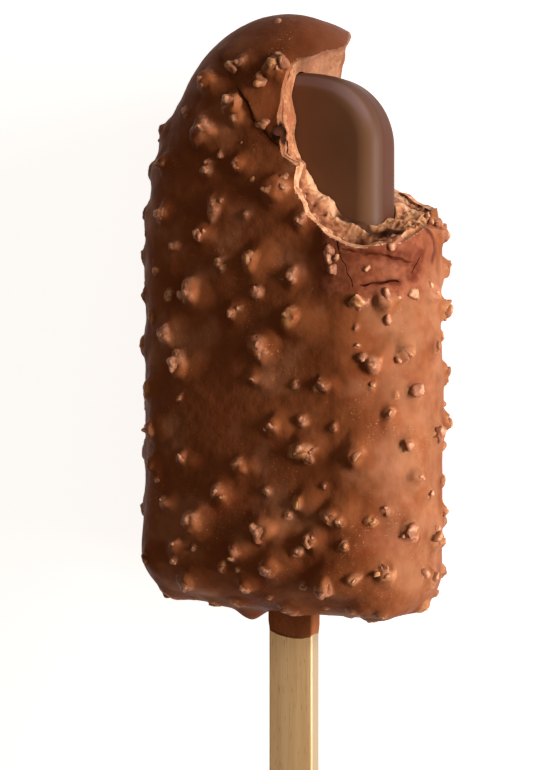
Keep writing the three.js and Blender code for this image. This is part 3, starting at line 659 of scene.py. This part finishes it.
def drop_direction(normal, draw):
    """The direction along the skin in which a mound drops steeply past its nut."""
    across = np.cross(normal, (0.0, 1.0, 0.0))
    if norm(across) < 0.4:
        across = np.array([-1.0, 0.0, 0.0])
    across /= norm(across)
    turn = draw.uniform(-0.7, 0.7)
    return cos(turn) * across + sin(turn) * np.cross(normal, across)


def bit_at(spot, normal, size, draw):
    """A bit of nut: blunt facets, each a direction and how far out it lies, and a tone from 0 to 1."""
    facets = draw.normal(size=(FACETS, 3))
    facets /= norm(facets, axis=1)[:, None]
    flatter = 0.35 + 0.65 * ease(1.0, 5.0, spot[1]) * (1 - 0.6 * ease(-17, -21, spot[0]))
    return SimpleNamespace(spot=spot, normal=normal, size=size, rise=KNOB_RISE * size * flatter,
                           tone=draw.uniform(), facets=facets / draw.uniform(0.65, 1.0, FACETS)[:, None])


def bit_radius(bit, directions):
    """The bit's radius in some directions, about 1, and how near that is to an edge between facets."""
    power = np.clip(directions @ bit.facets.T, 0.03, None) ** FACET_SHARPNESS
    total = power.sum(axis=1)
    return np.clip(total ** (-1 / FACET_SHARPNESS), 0, 1.2), np.clip(2 - 2 * power.max(axis=1) / total, 0, 1)


def break_up(nuts, small):
    """Each nut's own lie in the coating: where its mound drops, the mound's width and length, and the
    bits that the nut is broken into."""
    draw = np.random.default_rng(500)
    for nut in small:
        nut.bits = [bit_at(nut.point, nut.normal, 0.9 * nut.radius, draw)]
    for nut in nuts:
        radius, normal = nut.radius, nut.normal
        nut.drop = drop_direction(normal, draw)
        nut.width = draw.uniform(0.8, 1.25)
        nut.length = draw.uniform(0.75, 1.2)
        spot = nut.point + nut.drop * radius * draw.uniform(0.1, 0.45)
        nut.bits = [bit_at(spot, normal, radius * draw.uniform(0.6, 0.82), draw)]
        for _ in range(draw.integers(0, 3) if radius > 1.7 else draw.integers(0, 2)):
            aside = np.cross(normal, draw.normal(size=3))
            aside /= norm(aside)
            near = spot + aside * radius * draw.uniform(0.6, 0.9)
            nut.bits.append(bit_at(near, normal, radius * draw.uniform(0.3, 0.5), draw))


def warped(points, reach, size, seed):
    """The points pushed about, which makes what is shaped round them uneven."""
    return points + reach * np.stack([smooth_noise(points, size, seed + k) for k in range(3)], axis=1)


def mound_heights(points, nuts):
    """The coating's swelling over the nuts: a long ramp that rises to each nut and a steep drop past it."""
    points = warped(points, 0.8, 3.2, 80)
    total = np.zeros(len(points))
    for nut in nuts:
        local = points - nut.point
        near = np.flatnonzero(np.abs(local).max(axis=1) < 1.3 * MOUND_RAMP * nut.radius)
        local = local[near] / nut.radius
        forward = local @ nut.drop
        aside = local @ np.cross(nut.normal, nut.drop) / (MOUND_SIDE * nut.width)
        forward /= np.where(forward > 0, MOUND_DROP, MOUND_RAMP * nut.length)
        through = local @ nut.normal / 2
        room = np.clip(1 - forward**2 - aside**2 - through**2, 0, 1)
        total[near] += (MOUND_RISE * nut.rise * room**1.5) ** MOUND_BLEND
    return total ** (1 / MOUND_BLEND)


def knobs_at(points, nuts):
    """The coating's blocky knobs over the bits of nut: their height, how much of a knob a point is on,
    and the tone of its bit."""
    points = warped(points, 0.25, 1.2, 85)
    heights, shares, tones = np.zeros((3, len(points)))
    for nut in nuts:
        for bit in nut.bits:
            local = (points - bit.spot) / bit.size
            near = np.flatnonzero(np.abs(local).max(axis=1) < 1.5)
            away = norm(local[near], axis=1) + 1e-9
            share = ease(1.2, 0.7, away / bit_radius(bit, local[near] / away[:, None])[0])
            heights[near] = np.maximum(heights[near], bit.rise * share)
            tones[near] = np.where(share > shares[near], bit.tone, tones[near])
            shares[near] = np.maximum(shares[near], share)
    return heights, shares, tones


# ---- The coating ----


def from_piece(points, start, end):
    """The way to each point from the nearest place on a straight piece of a path."""
    along = np.subtract(end, start)
    share = np.clip((points - start) @ along / (along @ along), 0, 1)
    return points - start - share[:, None] * along


def distance_to_path(points, path):
    """The distance from a path in the plane and the side of it, 1 on its right and -1 on its left."""
    best = np.full(len(points), 1e9)
    side = np.zeros(len(points))
    for start, end in zip(path, path[1:]):
        off = from_piece(points, start, end)
        distance = norm(off, axis=1)
        closer = distance < best
        best = np.where(closer, distance, best)
        turn = (end[0] - start[0]) * off[:, 1] - (end[1] - start[1]) * off[:, 0]
        side = np.where(closer, np.sign(turn), side)
    return best, side


def plate_share(points):
    """1 on the broken plates below the bite, 0 away from them."""
    x, height, level = points.T
    across = ease(10.5, 13.5, x) * ease(-3.0, 1.0, level)
    return across * ease(47.5, 50.0, height) * ease(60.5, 58.0, height)


def plate_steps(points):
    """How much higher each broken plate stands: the one above the upper crack and the one below the
    lower crack stand out past the middle one."""
    height = points[:, 1]
    above = ease(55.2, 55.6, height + 0.15 * smooth_noise(points, 2.0, 21))
    below = ease(50.9, 50.4, height + 0.15 * smooth_noise(points, 2.0, 22))
    return plate_share(points) * (0.28 * above + 0.18 * below)


def flake_share(points):
    """1 along the face crack on the side towards the bite, where the coating lifted a little."""
    _, height, level = points.T
    distance, side = distance_to_path(points[:, :2], FACE_CRACK)
    step = ease(0.0, 0.25, side * distance) * ease(9.0, 2.0, distance)
    return step * ease(9.5, 11.5, level) * ease(66, 70, height)


def skin_heights(points, nuts, small):
    """How far the coating's skin stands out from the plain bar."""
    x, height, level = points.T
    swell = mound_heights(points, nuts) + knobs_at(points, nuts + small)[0]
    swell *= 1 - 0.7 * bell((x + 21) / 6, (height - 1) / 5)
    swell += 0.42 * smooth_noise(points, 11.0, 1)
    swell += 0.16 * smooth_noise(points, 5.0, 2) + 0.05 * fractal_noise(points, 1.4, 6) - SKIN_OFFSET
    swell += 0.5 * ease(-15, -20, x) + 0.3 * bell((x + 22) / 4, (height - 9) / 4)
    drip = 2.2 * bell((x - DRIP[0]) / DRIP[2], (level - DRIP[1]) / DRIP[2])
    swell += drip * ease(1.6, 0.6, height)
    smooth_top = ease(84, 88, height) * ease(-14, -9, x)
    swell *= 1 - 0.25 * smooth_top
    swell += 0.35 * flake_share(points)
    swell = swell * (1 - 0.6 * plate_share(points)) + plate_steps(points)
    rest = ease(REST_RADIUS + 3.5, REST_RADIUS, np.hypot(x, height - BAR_LENGTH / 2))
    return np.where(level < -BAR_EDGE_RADIUS, swell * (1 - rest) + 1.4 * rest, swell)


def groove(path, normals, half_width, depth, seed):
    """A V-shaped groove along a path, wandering a little."""
    lengths = np.r_[0, np.cumsum(norm(np.diff(path, axis=0), axis=1))]
    along = np.linspace(0, lengths[-1], max(int(lengths[-1] / 0.4), 2))
    spots, outs = (np.stack([np.interp(along, lengths, column) for column in zip(*corners)], axis=1)
                   for corners in (path, normals))
    outs /= norm(outs, axis=1)[:, None]
    tangents = np.gradient(spots, axis=0)
    sideways = np.cross(tangents, outs)
    sideways /= norm(sideways, axis=1)[:, None]
    spots = spots + sideways * (0.3 * fractal_noise(spots, 2.2, 70 + seed))[:, None]
    width = half_width * (1 + 0.6 * smooth_noise(spots, 1.5, 90 + seed))[:, None]
    overshoot = 1.6
    mouth = width * (1 + overshoot / depth)
    points = []
    for spot, out, aside, half in zip(spots, outs, sideways, mouth):
        points += [spot + out * overshoot - aside * half, spot + out * overshoot + aside * half,
                   spot - out * depth]
    last = 3 * (len(spots) - 1)
    return mesh_from(points, ring_faces(len(spots), 3) + [(0, 2, 1), (last, last + 1, last + 2)])


def step_at_height(height, inset):
    low, high = sum(BAR_STEPS[:2]), sum(BAR_STEPS)
    for _ in range(30):
        middle = (low + high) / 2
        if bar_outline(middle, inset)[1] < height:
            low = middle
        else:
            high = middle
    return low


def skin_spots(path):
    """The skin's points and directions out along a path of distances round and heights."""
    return list(zip(*[skin_at(step_at_height(height, skin_at(0, around)[2]), around)[:2]
                      for around, height in path]))


def crushed_share(points):
    """1 on the narrow side's cracks, fading out beside them and towards the front: where shade is painted
    into the cracks.
    """
    share = np.zeros(len(points))
    for crack, reach in zip(SHOULDER_CRACKS, CRUSHED):
        spots = skin_spots(crack)[0]
        for start, end in zip(spots, spots[1:]):
            away = norm(from_piece(points, start, end), axis=1)
            share = np.maximum(share, ease(reach, 0.4 * reach, away))
    return share * ease(12.3, 9.5, points[:, 2])


def crack_cutters():
    cutters = []
    for index, crack in enumerate(SHOULDER_CRACKS):
        size = (0.24, 0.35) if index == 1 else (0.14, 0.6)
        cutters.append(groove(*skin_spots(crack), *size, index))
    face = [(x, height, BAR_HALF_THICKNESS + 0.3) for x, height in FACE_CRACK]
    cutters.append(groove(face, [(0, 0, 1)] * len(face), 0.08, 0.4, 9))
    return cutters


def lump(centre, radius, seed):
    """A rough round lump."""
    directions, faces = sphere_mesh(3)
    points = directions * radius * (1 + 0.22 * smooth_noise(directions + seed, 0.7, seed))[:, None]
    return mesh_from(points + centre, faces)


def socket_share(points):
    """1 in the hollow that a nut left in the bite's wall."""
    return ease(0.45, 0.15, norm(points - SOCKET, axis=1) - SOCKET_RADIUS)


def coating_mesh(nuts, small):
    skin = with_modifier(bar_body(0.0, (5, 14, 12)), "REMESH", mode="VOXEL", voxel_size=SKIN_VOXEL)
    points, normals = points_of(skin), vectors_of(skin.vertices, "normal")
    points = points + normals * skin_heights(points, nuts, small)[:, None]
    points[:, 2] = np.maximum(points[:, 2], -MIDDLE_LEVEL)
    move_points(skin, points)
    lining = bar_body(COATING_THICKNESS, (2, 6, 4))
    socket = lump(SOCKET, SOCKET_RADIUS, 4)
    corner = lump(CORNER_BREAK, CORNER_BREAK_RADIUS, 12)
    skin = cut(skin, lining, bite_cutter(LIP, shell_relief, 0.35), socket, corner, *crack_cutters())
    skin = largest_part(skin)
    middles = vectors_of(skin.polygons, "center")
    degrees, distance = bite_polar(middles)
    wall = bite_radius(degrees, middles[:, 2]) + LIP
    on_wall = np.abs(distance - wall - shell_relief(middles)) < 0.06
    # Paler colour on the coating's broken face, partly its own colour and partly painted light: weak on the
    # upper left, where the face lies in shade, full low in the bite, where light falls on it
    set_values(skin, "FACE", cut=on_wall * (0.25 + 0.75 * ease(196, 212, degrees)))
    points = points_of(skin)
    x, height, level = points.T
    _, shares, tones = knobs_at(points, nuts + small)
    # Painted shade: the coating darkens over the top lobe and, more weakly, on the lifted flake by the face
    # crack
    top = ease(80, 88, height) * ease(-10, 4, x)
    set_values(skin, tone=tones, knob=shares * (1 - 0.4 * ease(8, 22, x)),
               mound=np.clip(mound_heights(points, nuts), 0, 1.2),
               plate=plate_share(points) * (1 - 0.5 * ease(4.5, 1.5, level)),
               crushed=crushed_share(points), hole=socket_share(points),
               # Painted sheen: the narrow right side, which faces the light, paler
               frost=ease(19.0, 24.0, x) * ease(0.0, 6.0, height),
               lobe=np.maximum(top, 0.4 * flake_share(points)))
    return skin


# ---- Nut pieces ----


def sphere_mesh(subdivisions):
    work = bmesh.new()
    bmesh.ops.create_icosphere(work, subdivisions=subdivisions, radius=1)
    points = np.array([vertex.co[:] for vertex in work.verts])
    faces = np.array([[vertex.index for vertex in face.verts] for face in work.faces])
    work.free()
    return points, faces


def nuts_mesh(nuts, small):
    """Bits of nut that stand a little way out of the coating."""
    draw = np.random.default_rng(7)
    bits = [(bit, 0.85, 0.05 + 0.22 * bit.size) for nut in nuts + small for bit in nut.bits]
    laid_bare = []
    for height, around, size in BARE_BITS:
        (spot,), (normal,) = skin_spots([(around, height)])
        laid_bare.append(bit_at(spot, normal, size, draw))
    front = np.array((0.0, 0.0, 1.0))
    for x, height, size in FRONT_BITS:
        laid_bare.append(bit_at(np.array((x, height, BAR_HALF_THICKNESS + 0.4)), front, size, draw))
    bits += [(bit, 1.0, 0.55 * bit.size) for bit in laid_bare]
    skin = skin_heights(np.array([bit.spot for bit, _, _ in bits]), nuts, small)
    shapes = [sphere_mesh(subdivisions) for subdivisions in range(2, 3 + len(FINER_SIZES))]
    parts, count = [], 0
    for (bit, share, shown), level in zip(bits, skin):
        spot, normal, size = bit.spot, bit.normal, bit.size * share
        directions, faces = shapes[sum(size > limit for limit in FINER_SIZES)]
        radius, edge = bit_radius(bit, directions)
        rough = 0.25 * fractal_noise(directions + draw.uniform(0, 50), 0.75, 3)
        points = directions * (size * radius * (1 + rough))[:, None]
        out = points @ normal
        shown *= draw.uniform(0.6, 1.4) * (0.4 + 0.6 * ease(1.0, 4.0, spot[1]))
        shown *= 1 - 0.5 * ease(-17, -21, spot[0])
        points = points + spot + normal * (level + shown - out.max())
        tip = ease(out.max() - shown - 0.1, out.max() - 0.1 * shown, out)
        bare = np.clip(tip * (0.7 + 0.5 * edge + 0.6 * smooth_noise(points, 0.8, 5)), 0, 1)
        parts.append((points, faces + count, bare, np.full(len(points), bit.tone)))
        count += len(points)
    points, faces, bare, tone = map(np.concatenate, zip(*parts))
    points[:, 2] = np.maximum(points[:, 2], -MIDDLE_LEVEL)
    mesh = mesh_from(points, faces)
    set_values(mesh, bare=bare, tone=tone)
    return mesh


# ---- The ice cream, the core and the stick ----


def dark_share(points):
    """1 in the hollow that a nut left in the bite's wall, in the gap behind the flake and in the deep pit,
    where shade is painted dark.
    """
    deep = points - np.array(FLAKE_GAP[1]) + 0.9 * np.array(FLAKE_GAP_OUT)
    behind = norm(deep * (1.0, 0.45, 1.0), axis=1)
    share = np.maximum(socket_share(points), ease(0.95, 0.6, behind))
    return np.maximum(share, 0.8 * ease(2.0, 1.1, pit_distance(points)))


def ice_cream_mesh():
    body = bar_body(COATING_THICKNESS - ICE_OVERLAP, (3, 8, 5))
    core = core_body(CORE_CLEARANCE, (4, 8, 4))
    flake_gap = groove(FLAKE_GAP, [FLAKE_GAP_OUT] * len(FLAKE_GAP), 0.4, 1.5, 3)
    corner = lump(CORNER_BREAK, CORNER_BREAK_RADIUS + 0.3, 12)
    ice = cut(body, core, bite_cutter(0.0, ice_relief, 0.17), lump(SOCKET, SOCKET_RADIUS + 0.1, 4), corner)
    ice = largest_part(cut(ice, flake_gap))
    points = points_of(ice)
    _, height, level = points.T
    degrees, _ = bite_polar(points)
    depth = np.abs(level)
    low = ease(190, 215, degrees)
    gap = gap_share(degrees, level)
    set_values(ice, low=low, pit=ease(0.25, 0.8, ice_hollows(points, degrees)),
               hole=np.maximum(dark_share(points), gap), channel=low * bell((depth - 8.2) / 1.8),
               rim=low * (bell((depth - 5.3 - 0.7 * gap) / 0.6) + bell((depth - 10.9) / 0.7)),
               high=ease(82, 86, height), edge=(1 - low) * ease(10.9, 11.3, level),
               stain=ease(268, 280, degrees) * ease(-9.0, -2.0, level))
    return ice


def inner_bar_mesh():
    """The inner bar, with values that tell how far its skin turns away from the front and towards the
    right, where its sides take painted shade, and one for a painted cool highlight along its upper rim."""
    bar = core_body(0.0, (8, 14, 6))
    normals = vectors_of(bar.vertices, "normal")
    out = np.abs(normals[:, 2])
    upward = ease(0.0, 0.45, normals[:, 1]) * (normals[:, 2] > 0)
    set_values(bar, aside=ease(0.95, 0.3, out),
               turned=ease(0.4, 0.05, out) * ease(0.2, 0.8, normals[:, 0]),
               bloom=upward * ease(1.0, 0.9, out) * ease(0.45, 0.75, out))
    return bar


def rounded_section(half_width, half_thickness, radius, steps=6):
    """A rectangle with rounded corners, counter-clockwise, as points across and through."""
    corners = [(1, -1, -90), (1, 1, 0), (-1, 1, 90), (-1, -1, 180)]
    section = []
    for side_x, side_z, start in corners:
        for step in range(steps + 1):
            angle = radians(start + 90 * step / steps)
            section.append((side_x * (half_width - radius) + radius * cos(angle),
                            side_z * (half_thickness - radius) + radius * sin(angle)))
    return section


def refined(section, parts=5):
    """The section with more points on each of its sides."""
    ends = section[1:] + section[:1]
    return [(a[0] + (b[0] - a[0]) * part / parts, a[1] + (b[1] - a[1]) * part / parts)
            for a, b in zip(section, ends) for part in range(parts)]


def stick_mesh():
    """A flat stick with round ends and eased edges."""
    end = [STICK_END_RADIUS * (1 - cos(radians(angle))) for angle in range(0, 91, 6)]
    spots = [reach - STICK_OUTSIDE for reach in end] + list(np.linspace(-36, 40, 60))
    spots += [STICK_INSIDE - reach for reach in reversed(end)]
    sections = []
    for height in spots:
        drop = STICK_END_RADIUS - min(height + STICK_OUTSIDE, STICK_INSIDE - height, STICK_END_RADIUS)
        narrowing = STICK_END_RADIUS - sqrt(max(STICK_END_RADIUS**2 - drop * drop, 0.0))
        half_width = STICK_WIDTH / 2 - min(narrowing, STICK_WIDTH / 2 - 0.45)
        half_thickness = STICK_THICKNESS / 2 - 0.25 * (drop / STICK_END_RADIUS) ** 6
        section = rounded_section(half_width, half_thickness, 0.32)
        sections.append([(x + STICK_X, height, level) for x, level in section])
    rings, around = len(sections), len(section)
    faces = [(a, d, c, b) for a, b, c, d in ring_faces(rings, around)]
    faces += [range(around), reversed(range((rings - 1) * around, rings * around))]
    stick = mesh_from(sum(sections, []), faces)
    set_values(stick, side=np.abs(points_of(stick)[:, 2]) < STICK_THICKNESS / 2 - 0.2)
    return stick


def skirt_mesh():
    """The thin film of coating on the stick below the bar, with a rounded lower edge."""
    film = 0.16
    rows = 12
    outer = refined(rounded_section(STICK_WIDTH / 2 + film, STICK_THICKNESS / 2 + film, 0.45))
    inner = refined(rounded_section(STICK_WIDTH / 2 - 0.3, STICK_THICKNESS / 2 - 0.3, 0.3))

    def lowest(x):
        slack = 1 - min(abs(x) / (STICK_WIDTH / 2 + film), 1) ** 2
        return -(SKIRT_LENGTH - SKIRT_CURVE) - SKIRT_CURVE * sqrt(slack) - SKIRT_TILT * x

    points = [(x + STICK_X, SKIRT_ROOT, z) for x, z in inner]
    for row in range(rows + 1):
        share = row / rows
        for (x, z), (inner_x, inner_z) in zip(outer, inner):
            edge = lowest(x)
            thin = ease(0.75, 1.0, share) * 0.3
            height = SKIRT_ROOT + (edge - SKIRT_ROOT) * share
            points.append((STICK_X + x + (inner_x - x) * thin, height, z + (inner_z - z) * thin))
    points += [(x + STICK_X, lowest(x) + 0.2, z) for x, z in inner]
    skirt = mesh_from(points, ring_faces(rows + 3, len(outer), closed=True))
    set_values(skirt, mound=np.ones(len(points)))
    return skirt


# ---- Materials ----


class Shader:
    """A material's node tree. Sockets are set by name, to a value or to another node's output."""

    def __init__(self, name):
        self.material = bpy.data.materials.new(name)
        self.material.use_nodes = True
        self.tree = self.material.node_tree
        self.place = self.add("TexCoord", {}, "Object")

    def fill(self, node, sockets):
        for key, value in sockets.items():
            if isinstance(value, bpy.types.NodeSocket):
                self.tree.links.new(value, node.inputs[key])
            else:
                node.inputs[key].default_value = value

    def add(self, kind, sockets, output=0, **settings):
        """An output of a new node."""
        node = self.tree.nodes.new("ShaderNode" + kind)
        for key, value in settings.items():
            setattr(node, key, value)
        self.fill(node, sockets)
        return node.outputs[output]

    def noise(self, size, detail=3.0, roughness=0.55, stretch=(1, 1, 1)):
        """Noise from 0 to 1 with lumps of that size in millimetres."""
        scale = [1 / (size * MM * part) for part in stretch]
        place = self.add("Mapping", {"Vector": self.place, "Scale": scale})
        return self.add("TexNoise", {"Vector": place, "Scale": 1.0, "Detail": detail, "Roughness": roughness})

    def ramp(self, value, low, high, most=1.0, least=0.0):
        """Eased from least, where the value is low, to most, where it is high."""
        sockets = {"Value": value, "From Min": low, "From Max": high, "To Min": least, "To Max": most}
        return self.add("MapRange", sockets, interpolation_type="SMOOTHSTEP")

    def patches(self, size, low, high, most=1.0, least=0.0, detail=3.0):
        return self.ramp(self.noise(size, detail), low, high, most, least)

    def value(self, name, most=None):
        """A number that the mesh carries by that name, eased from 0 to most where that is given."""
        number = self.add("Attribute", {}, "Fac", attribute_name=name)
        return number if most is None else self.ramp(number, 0, 1, most)

    def product(self, first, second):
        return self.add("Math", {0: first, 1: second}, operation="MULTIPLY")

    def total(self, first, second):
        """The sum of two numbers, from 0 to 1."""
        return self.add("Math", {0: first, 1: second}, operation="ADD", use_clamp=True)

    def layers(self, base, *layers):
        """A colour under layers, each a share and a colour. A tuple is a colour as a screen shows it."""
        for share, layer in layers:
            below, above = (linear(part) if isinstance(part, tuple) else part for part in (base, layer))
            base = self.add("MixRGB", {"Fac": share, "Color1": below, "Color2": above})
        return base

    def mix(self, share, first, second):
        """Two colours: the first alone at a share of 0, the second alone at 1."""
        return self.layers(first, (share, second))

    def relief(self, depth, *noise, **sockets):
        """Low relief by noise, of that depth in millimetres."""
        height = {"Height": self.noise(*noise), "Distance": depth * MM, "Strength": 1.0}
        return self.add("Bump", {**height, **sockets})

    def finish(self, colour, roughness, specular=0.5, **others):
        """The material, once its surface is set."""
        sockets = {"Base Color": colour, "Roughness": roughness, "Specular IOR Level": specular}
        self.fill(self.tree.nodes["Principled BSDF"], {**sockets, **others})
        return self.material


def linear(screen):
    """A shader's colour for one that is given as it shows on a screen, from 0 to 255."""
    parts = [part / 255 for part in screen]
    return (*[part / 12.92 if part <= 0.04045 else ((part + 0.055) / 1.055) ** 2.4 for part in parts], 1)


def chocolate(shader):
    """Milk chocolate's colour: uneven in broad patches, redder in some and pale in others, and warmer
    in specks."""
    patches = shader.patches
    return shader.layers(
        shader.mix(patches(7.0, 0.35, 0.65), (112, 59, 31), (128, 71, 40)),
        (patches(4.6, 0.52, 0.68, 0.5), (120, 52, 26)),
        (patches(9.0, 0.5, 0.7, 0.55), (156, 104, 74)),
        (patches(0.7, 0.64, 0.76, 0.3, detail=2.0), (160, 100, 62)))


def nut_colour(shader):
    """Chopped nut under a thin film: from pink to golden by its tone, with paler grain."""
    nut = shader.mix(shader.ramp(shader.value("tone"), 0.45, 0.95), (182, 120, 90), (190, 130, 72))
    return shader.mix(shader.patches(0.7, 0.4, 0.7), nut, (206, 154, 118))


def coating_material():
    shader = Shader("milk_chocolate")
    patches, value, product = shader.patches, shader.value, shader.product
    base = shader.layers(
        chocolate(shader),
        (shader.ramp(value("mound"), 0.2, 0.9, 0.6), (148, 86, 50)),
        (product(value("knob"), patches(1.2, 0.3, 0.6, 0.95, 0.4)), nut_colour(shader)),
        # Painted shade over the top lobe and on the flake by the face crack
        (value("lobe", 0.85), (94, 47, 24)),
        # Painted glints: sparse pale specks in a few broad patches
        (product(patches(0.25, 0.66, 0.74, 0.7, detail=1.0), patches(8.0, 0.54, 0.62, detail=2.0)),
         (190, 135, 98)),
        # Painted sheen paling the narrow right side in patches, where the light falls strongest
        (product(value("frost"), patches(6.0, 0.35, 0.65, 0.35)), (172, 124, 92)),
        (value("plate", 0.8), shader.mix(patches(1.6, 0.4, 0.62), (108, 53, 34), (134, 75, 52))),
        # Painted shade, dark red-brown, in and beside the narrow side's cracks
        (product(value("crushed"), patches(1.4, 0.3, 0.6, 0.9, 0.45)), (84, 32, 15)),
        # The broken face's paler colour, partly painted light that follows where light falls on it
        (value("cut"), shader.mix(patches(0.8, 0.4, 0.65), (166, 112, 84), (206, 160, 124))),
        # Painted shade, nearly black-brown, in the hollow that a nut left in the bite's wall
        (value("hole"), (46, 24, 15)))
    rough = shader.total(value("hole"), patches(3.0, 0.3, 0.7, 0.6, 0.48))
    relief = shader.relief(0.12, 2.2, 2.0, Normal=shader.relief(0.04, 0.6, 4.0))
    return shader.finish(base, rough, 0.04, Normal=relief)


def nut_material():
    shader = Shader("coated_nut")
    film = shader.mix(0.5, chocolate(shader), (149, 97, 69))
    broken = shader.total(shader.value("bare"), shader.patches(0.8, 0.3, 0.7, 0.2, -0.2))
    base = shader.mix(shader.ramp(broken, 0.25, 0.85), film, nut_colour(shader))
    rough = shader.patches(1.0, 0.3, 0.7, 0.62, 0.45)
    return shader.finish(base, rough, 0.25, Normal=shader.relief(0.06, 0.35, 4.0))


def ice_cream_material():
    shader = Shader("porous_ice_cream")
    patches, value, product = shader.patches, shader.value, shader.product
    base = shader.layers(
        shader.mix(patches(2.6, 0.35, 0.65), (152, 94, 62), (186, 134, 94)),
        (value("low", 0.5), (216, 158, 112)),
        (value("high", 0.6), (116, 78, 58)),
        (patches(0.7, 0.54, 0.66, 0.5), (116, 64, 38)),
        (patches(1.8, 0.55, 0.68, 0.5), (160, 84, 60)),
        # Painted shade in the low channel between the two rims
        (product(value("channel"), patches(1.4, 0.3, 0.6, 1.0, 0.4)), (142, 82, 56)),
        (product(value("stain"), patches(1.8, 0.4, 0.6)), (160, 104, 54)),
        # Painted shade in the pores, torn hollows and deep pit, darker the deeper they go
        (value("pit"), (104, 56, 30)),
        # Painted highlights along the two raised rims low in the bite
        (value("rim", 0.8), (208, 164, 130)),
        # Painted shadow of the coating's edge on the ice cream along the front
        (value("edge"), (92, 50, 32)),
        # Painted shade in the nut's hollow, the gap behind the flake, the deep pit and the gap under the
        # inner bar
        (value("hole", 0.95), (62, 28, 13)))
    rough = shader.ramp(value("hole"), 0, 1, 1.0, 0.72)
    return shader.finish(base, rough, 0.2, Normal=shader.relief(0.12, 0.4, 5.0, 0.65))


def core_material():
    shader = Shader("smooth_dark_ice")
    patches, value = shader.patches, shader.value
    base = shader.layers(
        shader.mix(patches(14.0, 0.3, 0.7, detail=2.0), (98, 66, 45), (104, 72, 50)),
        # Painted shade on the rounded edge, darker as the skin turns from the front
        (value("aside"), (82, 54, 41)),
        # Painted shade, darker and warmer, on the far right strip
        (value("turned", 0.8), (70, 36, 22)),
        # Painted cool highlight along the upper part of the rounded edge
        (value("bloom", 0.7), (118, 92, 90)))
    rough = patches(5.0, 0.3, 0.7, 0.5, 0.44, detail=2.0)
    return shader.finish(base, rough, 0.12, Normal=shader.relief(0.01, 1.2))


def wood_material():
    shader = Shader("beech")
    streaks = shader.ramp(shader.noise(1.0, 3.0, 0.6, (0.9, 26, 0.9)), 0.35, 0.65)
    flecks = shader.ramp(shader.noise(1.0, 2.0, 0.5, (0.22, 2.4, 0.22)), 0.6, 0.72, 0.55)
    base = shader.layers(
        shader.mix(streaks, (236, 192, 136), (247, 209, 156)),
        (flecks, (186, 138, 90)),
        # Painted shade on the stick's narrow sides, which the light from the right strikes more strongly than
        # its faces
        (shader.value("side"), (146, 128, 102)))
    relief = shader.relief(0.03, 1.0, 3.0, 0.6, (0.16, 5, 0.16))
    return shader.finish(base, 0.62, Normal=relief)


# ---- Pieces ----


def build_bar():
    random = cad_random(NUT_SEED)
    nuts = strew(NUT_SIZES, NUT_CLEARANCE, random, [])
    small = [nut for nut in strew(CHIP_SIZES, 0.5, random, nuts) if not inside_bite(nut.point, 3.5)]
    break_up(nuts, small)
    coating = coating_material()
    make_piece("coating_skin", coating_mesh(nuts, small), "coating", coating, 50.0)
    make_piece("nut_pieces", nuts_mesh(nuts, small), "coating", nut_material(), 60.0)
    make_piece("stick_skirt", skirt_mesh(), "coating", coating)
    make_piece("ice_cream_layer", ice_cream_mesh(), "ice_cream", ice_cream_material(), 60.0)
    make_piece("inner_bar", inner_bar_mesh(), "core", core_material())
    make_piece("wooden_stick", stick_mesh(), "stick", wood_material())


build_bar()

# ---- Floor, light and camera ----

VIEW_TURN = radians(30.5)
VIEW_DISTANCE = 300.0
VIEW_MIDDLE = (0.0, -11.2, 14.65)
VIEW_SHIFT = -3.5
VIEW_HEIGHT = 121.07
SENSOR = 36.0
FLOOR_HALF, FLOOR_GLOW = 1.6, 0.8
SKY_TINT, SKY_STRENGTH = (1.0, 0.8, 0.6, 1), 0.21


def make_floor():
    half = FLOOR_HALF
    mesh = mesh_from([(-half, -half, 0), (half, -half, 0), (half, half, 0), (-half, half, 0)], [range(4)])
    shader = Shader("pale_floor")
    tint = shader.mix(shader.noise(160.0), (231, 231, 231), (233, 233, 233))
    glow = {"Emission Color": (1, 1, 1, 1), "Emission Strength": FLOOR_GLOW}
    mesh.materials.append(shader.finish(tint, 0.9, 0.0, **glow))
    floor = add_object("floor", mesh)


def make_light(name, place, target, size, power, tint):
    """A soft rectangular light, in metres and watts."""
    light = bpy.data.lights.new(name, "AREA")
    light.shape, light.energy, light.color = "RECTANGLE", power, tint
    light.size, light.size_y = size
    obj = add_object(name, light)
    obj.location = place
    obj.rotation_euler = (Vector(target) - Vector(place)).to_track_quat("-Z", "Y").to_euler()


def make_camera():
    across = Vector((cos(VIEW_TURN), 0, -sin(VIEW_TURN)))
    back = Vector((sin(VIEW_TURN), 0, cos(VIEW_TURN)))
    up = Vector((0, 1, 0))
    middle = Vector(VIEW_MIDDLE) + across * VIEW_SHIFT
    camera = bpy.data.cameras.new("camera")
    camera.sensor_fit = "VERTICAL"
    camera.sensor_height = SENSOR
    camera.lens = SENSOR * VIEW_DISTANCE / VIEW_HEIGHT
    camera.clip_start = 0.01
    obj = add_object("camera", camera)
    turn = Matrix((across, up, back)).transposed().to_4x4()
    obj.matrix_world = Matrix.Translation((middle + back * VIEW_DISTANCE) * MM) @ turn
    bpy.context.scene.camera = obj


def make_world():
    world = bpy.data.worlds.new("world")
    world.use_nodes = True
    sky = world.node_tree.nodes["Background"].inputs
    sky["Color"].default_value, sky["Strength"].default_value = SKY_TINT, SKY_STRENGTH
    bpy.context.scene.world = world


make_floor()
make_light("key", (0.62, 0.02, 0.105), (0, 0, 0.014), (0.4, 0.12), 7.2, (1.0, 0.95, 0.90))
make_light("top", (0.22, 0.42, 0.30), (0, 0.02, 0.014), (0.3, 0.3), 0.15, (0.9, 0.92, 1.0))
make_world()
make_camera()
bpy.context.scene.view_settings.view_transform = "Standard"
